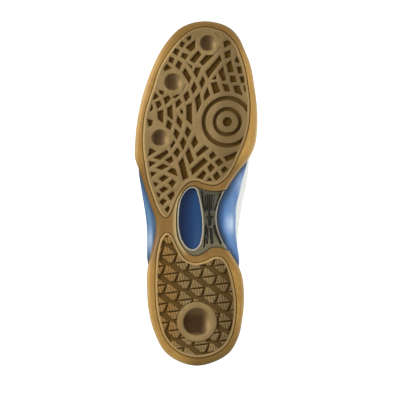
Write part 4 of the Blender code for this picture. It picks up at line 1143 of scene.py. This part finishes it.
def footbed():
    """Insole that lies on the midsole inside the upper."""
    loops = []
    for inset, z in FOOTBED_SIDE:
        loop = ladder(grown(MID, -inset))
        loops.append(level(loop, height(loop[:, 0], MIDSOLE_TOP) + z))
    bm = capped(sheet_of(loops))
    sliced(bm, bm.faces, ALONG, SLICES)
    sprung(bm)
    piece("footbed", bm, [insole_cloth()], "insole_cloth", "insole")


def feather_point(side, along):
    """Point on the feather line and the outward direction there."""
    curve = grown(MID, -FEATHER_INSET)
    normal = outward(curve)
    heel = int(np.argmin(curve[:, 0]))
    toe = int(np.argmax(curve[:, 0]))
    if side == 0:
        k = heel if along == "heel" else toe
    else:
        axis = np.interp(curve[:, 0], curve[[heel, toe], 0], curve[[heel, toe], 1])
        on_side = (curve[:, 1] - axis) * side > 0
        k = int(np.argmin(np.where(on_side, np.abs(curve[:, 0] - along), FAR)))
    return curve[k], normal[k]


def upper_nodes():
    """Control points of every section: feather, lower handle, upper handle, topline."""
    nodes = []
    for side, along, tx, ty, tz, bulge, rise, reach, drop in UPPER_ROWS:
        foot, out = feather_point(side, along)
        z = float(height(foot[0], MIDSOLE_TOP) + base(foot[0])) + FEATHER_GAP
        lower = foot + out * bulge
        upper = np.array((tx, ty)) + out * reach
        nodes.append([(*foot, z), (*lower, z + rise), (*upper, tz - drop), (tx, ty, tz)])
    return np.array(nodes)


NODES = upper_nodes()


def eased(p0, p1, p2, p3, t):
    """Place at part t of the way from p1 to p2 on the smooth curve through the four points."""
    return 0.5 * (2 * p1 + (p2 - p0) * t + (2 * p0 - 5 * p1 + 4 * p2 - p3) * t * t
                  + (3 * p1 - p0 - 3 * p2 + p3) * t ** 3)


def shell(u, v):
    """Points of the outer face of the upper at section rows u and levels v."""
    u, v = np.broadcast_arrays(np.asarray(u, float), np.asarray(v, float))
    i = np.floor(u).astype(int)
    handles = eased(*(NODES[(i + k) % len(NODES)] for k in (-1, 0, 1, 2)), (u - i)[..., None, None])
    v = v[..., None]
    s = 1.0 - v
    a, b, c, d = (handles[..., k, :] for k in range(4))
    return a * s ** 3 + b * 3 * s * s * v + c * 3 * s * v * v + d * v ** 3


def shell_normal(u, v):
    """Outward unit normals of that face."""
    u, v = np.broadcast_arrays(np.asarray(u, float), np.asarray(v, float))
    low, high = np.maximum(0.0, v - 0.02), np.minimum(1.0, v + 0.02)
    n = np.cross(shell(u + 0.05, v) - shell(u - 0.05, v), shell(u, high) - shell(u, low))
    return n / np.linalg.norm(n, axis=-1, keepdims=True)


def shell_face(u, v, out):
    """Points that stand off that face by some mm outward."""
    return shell(u, v) + shell_normal(u, v) * np.asarray(out, float)[..., None]


def box_depth(u, v, u0, u1, v0, v1):
    """How far a place lies inside a round-cornered field of rows and levels, in mm, negative outside."""
    best = np.full(np.broadcast(u, v).shape, -FAR)
    for turn in (-len(NODES), 0, len(NODES)):
        x = np.abs(u + turn - (u0 + u1) / 2.0) * ROW_MM - ((u1 - u0) / 2.0 * ROW_MM - OVERLAY_CORNER)
        y = np.abs(v - (v0 + v1) / 2.0) * LEVEL_MM - ((v1 - v0) / 2.0 * LEVEL_MM - OVERLAY_CORNER)
        outside = np.hypot(np.maximum(x, 0.0), np.maximum(y, 0.0)) + np.minimum(np.maximum(x, y), 0.0)
        best = np.maximum(best, OVERLAY_CORNER - outside)
    return best


def upper_rise(u, v):
    """How far the outer face stands off the plain shell, overlays out and flex creases in.

    Gives the depth inside the overlays as well.
    """
    overlay = np.max([box_depth(u, v, *field) for field in OVERLAY_FIELDS], axis=0)
    overlay = np.maximum(overlay, RAND_TALL - v * LEVEL_MM)
    out = OVERLAY * smooth(-0.8, 0.8, overlay)
    points = shell(u, v)
    on_top = hill(CREASE_LEVELS, v)
    for along, deep, half in FLEX_CREASES:
        bow = along + CREASE_BOW * np.abs(points[..., 1] - CREASE_MIDDLE)
        out = out - deep * np.exp(-((points[..., 0] - bow) / half) ** 2) * on_top
    return out, overlay


def upper_shell(lining):
    """Hollow upper with its overlays, side panels and flex creases."""
    u = np.arange(UPPER_AROUND)[None, :] * len(NODES) / UPPER_AROUND
    v = np.linspace(0.0, 1.0, UPPER_UP + 1)[:, None]
    out, overlay = upper_rise(u, v)
    panel = np.full(overlay.shape, -FAR)
    for row_low, half_low, row_high, half_high in SIDE_PANELS:
        middle = row_low + (row_high - row_low) * v / PANEL_TOP
        half = half_low + (half_high - half_low) * v / PANEL_TOP
        inside = np.minimum((half - np.abs(u - middle)) * ROW_MM, (PANEL_TOP - v) * LEVEL_MM)
        panel = np.maximum(panel, inside)
    points = shell_face(u, v, out)
    points[0, :, 2] = height(points[0, :, 0], MIDSOLE_TOP) + base(points[0, :, 0]) + FEATHER_GAP
    bm = sheet_of(points, side_panel=panel, overlay=overlay)
    bmesh.ops.recalc_face_normals(bm, faces=bm.faces)
    ob = piece("upper_shell", bm, [upper_leather(), lining], "upper_leather", "upper", crisp=60.0)
    wall = ob.modifiers.new("wall", "SOLIDIFY")
    wall.thickness = WALL * MM
    wall.offset = -1.0
    wall.material_offset = 1


def padded_tongue():
    """Foam tongue: crowned between its edge seam and two sewn channels."""
    rows = np.array(TONGUE_ROWS, float)
    steps = np.linspace(0.0, len(rows) - 1.0, TONGUE_LOOPS)
    table = np.column_stack([np.interp(steps, np.arange(len(rows)), column) for column in rows.T])
    for _ in range(TONGUE_SMOOTHED):
        table[1:-1] = (table[:-2] + 2 * table[1:-1] + table[2:]) / 4.0
    across = np.sin(np.linspace(-math.pi / 2, math.pi / 2, TONGUE_POINTS))
    crown = (1.0 - across ** 8) * 0.75 + 0.25
    where, wide, deep = TONGUE_CHANNEL
    last = TONGUE_LOOPS - 1
    loops = []
    for k, (x, z, half, drop) in enumerate(table):
        ahead = table[min(k + 1, last)] - table[max(k - 1, 0)]
        up = np.array((ahead[1], 0.0, -ahead[0]))
        up /= np.linalg.norm(up)
        middle = np.column_stack([
            np.full(TONGUE_POINTS, x), TONGUE_MIDDLE + across * half, z - drop * across ** 2])
        channel = 1.0 - deep * np.exp(-((np.abs(across) - where) * half / wide) ** 2)
        ends = smooth(-1.0, 5.0, min(k, last - k))
        thick = TONGUE_THICK / 2.0 * crown * channel * (0.45 + 0.55 * ends)
        loops.append(np.vstack([middle + up * thick[:, None], (middle - up * thick[:, None])[::-1]]))
    bm = capped(sheet_of(loops))
    ob = piece("padded_tongue", bm, [tongue_cloth()], "tongue_cloth", "tongue", crisp=80.0)


def collar_pad(lining):
    """Foam roll inside the collar, thin at its two ends."""
    angle = np.linspace(0.0, 2.0 * math.pi, COLLAR_POINTS, endpoint=False)
    levels = COLLAR_LEVEL + COLLAR_TALL * np.sin(angle)
    loops = []
    for u in np.linspace(-COLLAR_REACH, COLLAR_REACH, COLLAR_LOOPS):
        full = float(smooth(0.0, 1.2, COLLAR_REACH + 0.3 - abs(u)))
        inward = -(WALL + COLLAR_GAP + (COLLAR_HALF + COLLAR_HALF * np.cos(angle)) * (0.2 + 0.8 * full))
        loops.append(shell_face(np.full(COLLAR_POINTS, u), levels, inward))
    bm = capped(sheet_of(loops))
    ob = piece("collar_pad", bm, [lining], "tongue_cloth", crisp=80.0)


def smooth_run(points, count):
    """Smooth open curve through the points."""
    pts = np.array(points, float)
    pts = np.vstack([2 * pts[:1] - pts[1:2], pts, 2 * pts[-1:] - pts[-2:-1]])
    t = np.linspace(0.0, len(pts) - 3.0, count)
    i = np.minimum(t.astype(int), len(pts) - 4)
    return eased(*(pts[i + k] for k in range(4)), (t - i)[:, None])


def eyelet_rows():
    """Section rows of the lateral and the medial eyelets, from the toe up."""
    step = [EYELET_SPAN * k / (EYELET_ROWS - 1) for k in range(EYELET_ROWS)]
    return [EYELET_FIRST[0] - s for s in step], [EYELET_FIRST[1] + s for s in step]


def lace_loops(u_lateral, u_medial, lift):
    """Loops of a flat strap out of a lateral eyelet, over the tongue and into a medial one."""
    slide = (u_medial - TOE_ROW) - (TOE_ROW - u_lateral)
    out = OVERLAY + LACE_THICK / 2.0
    # Half of the way: part of the slide, level, mm off the upper
    half = ((0.0, EYELET_LEVEL, -WALL - 1.0), (0.0, EYELET_LEVEL + 0.012, out),
            (0.1, 0.955, out + 1.2), (0.2, 1.0, out + 1.0))
    stops = [(u_lateral - part * slide, v, o) for part, v, o in half]
    stops += [(u_medial - part * slide, v, o) for part, v, o in half[::-1]]
    points = [shell_face(*stop) for stop in stops]
    faces = [shell_normal(u, v) for u, v, _ in stops]
    points.insert(4, (points[3] + points[4]) / 2.0 + np.array((0.0, 0.0, lift)))
    faces.insert(4, (faces[3] + faces[4]) / 2.0)
    path = smooth_run(points, LACE_LOOPS)
    ups = smooth_run(faces, LACE_LOOPS)
    runs = np.gradient(path, axis=0)
    runs /= np.linalg.norm(runs, axis=1, keepdims=True)
    ups[:6] = ups[6]
    ups[-6:] = ups[-7]
    sides = np.cross(runs, ups)
    sides /= np.linalg.norm(sides, axis=1, keepdims=True)
    ups = np.cross(sides, runs)
    angle = np.linspace(0.0, 2.0 * math.pi, LACE_POINTS, endpoint=False)
    near_end = np.minimum(np.arange(LACE_LOOPS), np.arange(LACE_LOOPS)[::-1])
    wide = LACE_WIDTH / 2.0 * (0.55 + 0.45 * smooth(4.0, 14.0, near_end))
    flat = np.sign(np.sin(angle)) * np.abs(np.sin(angle)) ** 0.7
    return [p + s * w * np.cos(angle)[:, None] + n * LACE_THICK / 2.0 * flat[:, None]
            for p, s, n, w in zip(path, sides, ups, wide)]


def flat_laces():
    """Criss-cross lacing through all eyelets, with a straight bar over the toe end."""
    lateral, medial = eyelet_rows()
    bar, under, over = LACE_LIFTS
    runs = [lace_loops(lateral[0], medial[0], bar)]
    for k in range(EYELET_ROWS - 1):
        runs.append(lace_loops(lateral[k], medial[k + 1], under))
        runs.append(lace_loops(lateral[k + 1], medial[k], over))
    bm = bmesh.new()
    for run in runs:
        part = capped(sheet_of(run))
        mesh = bpy.data.meshes.new("run")
        part.to_mesh(mesh)
        part.free()
        bm.from_mesh(mesh)
        bpy.data.meshes.remove(mesh)
    piece("flat_laces", bm, [lace_cloth()], "lace_cloth", "laces", crisp=70.0)


def standing(u, v, out, ahead):
    """Frame that stands on the face of the upper: X ahead along it, Z out of it."""
    n = Vector(shell_normal(u, v))
    ahead = Vector(ahead)
    ahead = (ahead - n * ahead.dot(n)).normalized()
    turn = Matrix((ahead, n.cross(ahead), n)).transposed().to_4x4()
    return Matrix.Translation(Vector(shell_face(u, v, out))) @ turn


def eyelet_rings():
    """Enamelled rings round the lace holes."""
    radius, half = EYELET_RING
    section = Matrix.Translation((radius, 0.0, 0.0)) @ Matrix.Rotation(math.pi / 2, 4, "X")
    v = EYELET_LEVEL
    bm = bmesh.new()
    for u in sum(eyelet_rows(), []):
        ring = bmesh.ops.create_circle(bm, segments=8, radius=half, matrix=section)["verts"]
        edges = list({e for vert in ring for e in vert.link_edges})
        bmesh.ops.spin(
            bm, geom=ring + edges, cent=(0.0, 0.0, 0.0), axis=(0.0, 0.0, 1.0), angle=2.0 * math.pi,
            steps=18, use_merge=True)
        place = standing(u, v, OVERLAY + 0.1, shell(u + 0.02, v) - shell(u - 0.02, v))
        bmesh.ops.transform(bm, matrix=place, verts=[vert for vert in bm.verts if not vert.tag])
        for vert in bm.verts:
            vert.tag = True
    bmesh.ops.remove_doubles(bm, verts=bm.verts, dist=1e-4)
    bmesh.ops.recalc_face_normals(bm, faces=bm.faces)
    piece("eyelet_rings", bm, [eyelet_enamel()], "lace_cloth")


def overlay_stitches():
    """Two rows of stitches inside the edge of every overlay."""
    turn = np.linspace(0.0, 2.0 * math.pi, 49)
    circle = np.column_stack([np.cos(turn), np.sin(turn)])
    scale = np.array((ROW_MM, LEVEL_MM))
    size = Matrix.Diagonal((*STITCH_SIZE, 1.0))
    bm = bmesh.new()
    for u0, u1, v0, v1 in OVERLAY_FIELDS:
        middle = np.array((u0 + u1, v0 + v1)) / 2.0
        for inset in STITCH_ROWS:
            half = np.array((u1 - u0, v1 - v0)) * scale / 2.0 - inset
            path = np.sign(circle) * (half - OVERLAY_CORNER + inset) + circle * (OVERLAY_CORNER - inset)
            arc = arc_length(path)
            for reach in np.arange(STITCH_PITCH / 2.0, arc[-1], STITCH_PITCH):
                back, fore = (
                    np.array([np.interp(reach + d, arc, path[:, k]) for k in (0, 1)]) / scale + middle
                    for d in (-0.4, 0.4))
                u, v = (back + fore) / 2.0
                if 0.02 < v < 0.985:
                    place = standing(u, v, float(upper_rise(u, v)[0]), shell(*fore) - shell(*back))
                    bmesh.ops.create_icosphere(bm, subdivisions=1, radius=0.5, matrix=place @ size)
    piece("overlay_stitches", bm, [stitch_thread()], "upper_leather")


def studio():
    """Large pale floor, a broad soft light over the shoe, a fill beside the camera and a bright room."""
    bm = bmesh.new()
    bmesh.ops.create_grid(bm, x_segments=1, y_segments=1, size=FLOOR_HALF)
    floor = solid("floor", bm)
    floor.data.materials.append(floor_paper())
    for name, place, size, power in LIGHTS:
        lamp = bpy.data.lights.new(name, "AREA")
        lamp.size = size
        lamp.energy = power
        ob = bpy.data.objects.new(name, lamp)
        ob.location = place
        ob.rotation_euler = (Vector(place) - Vector(LIGHTS_AIM)).to_track_quat("Z", "Y").to_euler()
        bpy.context.scene.collection.objects.link(ob)
    world = bpy.data.worlds.new("room")
    world.use_nodes = True
    room = world.node_tree.nodes["Background"].inputs
    room["Color"].default_value = (1.0, 1.0, 1.0, 1.0)
    room["Strength"].default_value = ROOM_LIGHT
    bpy.context.scene.world = world


def camera():
    """Looks square at the sole, toe up in the picture."""
    data = bpy.data.cameras.new("camera")
    data.lens = data.sensor_width * VIEW_DISTANCE / (VIEW_WIDTH * MM)
    ob = bpy.data.objects.new("camera", data)
    up, right, back = (TURN @ Vector(axis) for axis in ((1, 0, 0), (0, 1, 0), (0, 0, -1)))
    turn = Matrix((right, up, back)).transposed().to_4x4()
    ob.matrix_world = Matrix.Translation(LAY @ Vector(VIEW_CENTRE) + back * VIEW_DISTANCE) @ turn
    bpy.context.scene.collection.objects.link(ob)
    bpy.context.scene.camera = ob
    bpy.context.scene.view_settings.view_transform = "Standard"


camera()
studio()
gum_outsole()
TREAD = tread_rubber()
tread_pad("forefoot_pad", grown(FOREFOOT, -PLAY), forefoot_relief, FOREFOOT_PITCH, "forefoot_tread", TREAD)
tread_pad("heel_pad", grown(HEEL, -PLAY), heel_relief, HEEL_PITCH, "heel_tread", TREAD)
shank_plate()
window_panel()
foam_midsole()
LINING = lining_cloth()
upper_shell(LINING)
footbed()
padded_tongue()
collar_pad(LINING)
flat_laces()
eyelet_rings()
overlay_stitches()
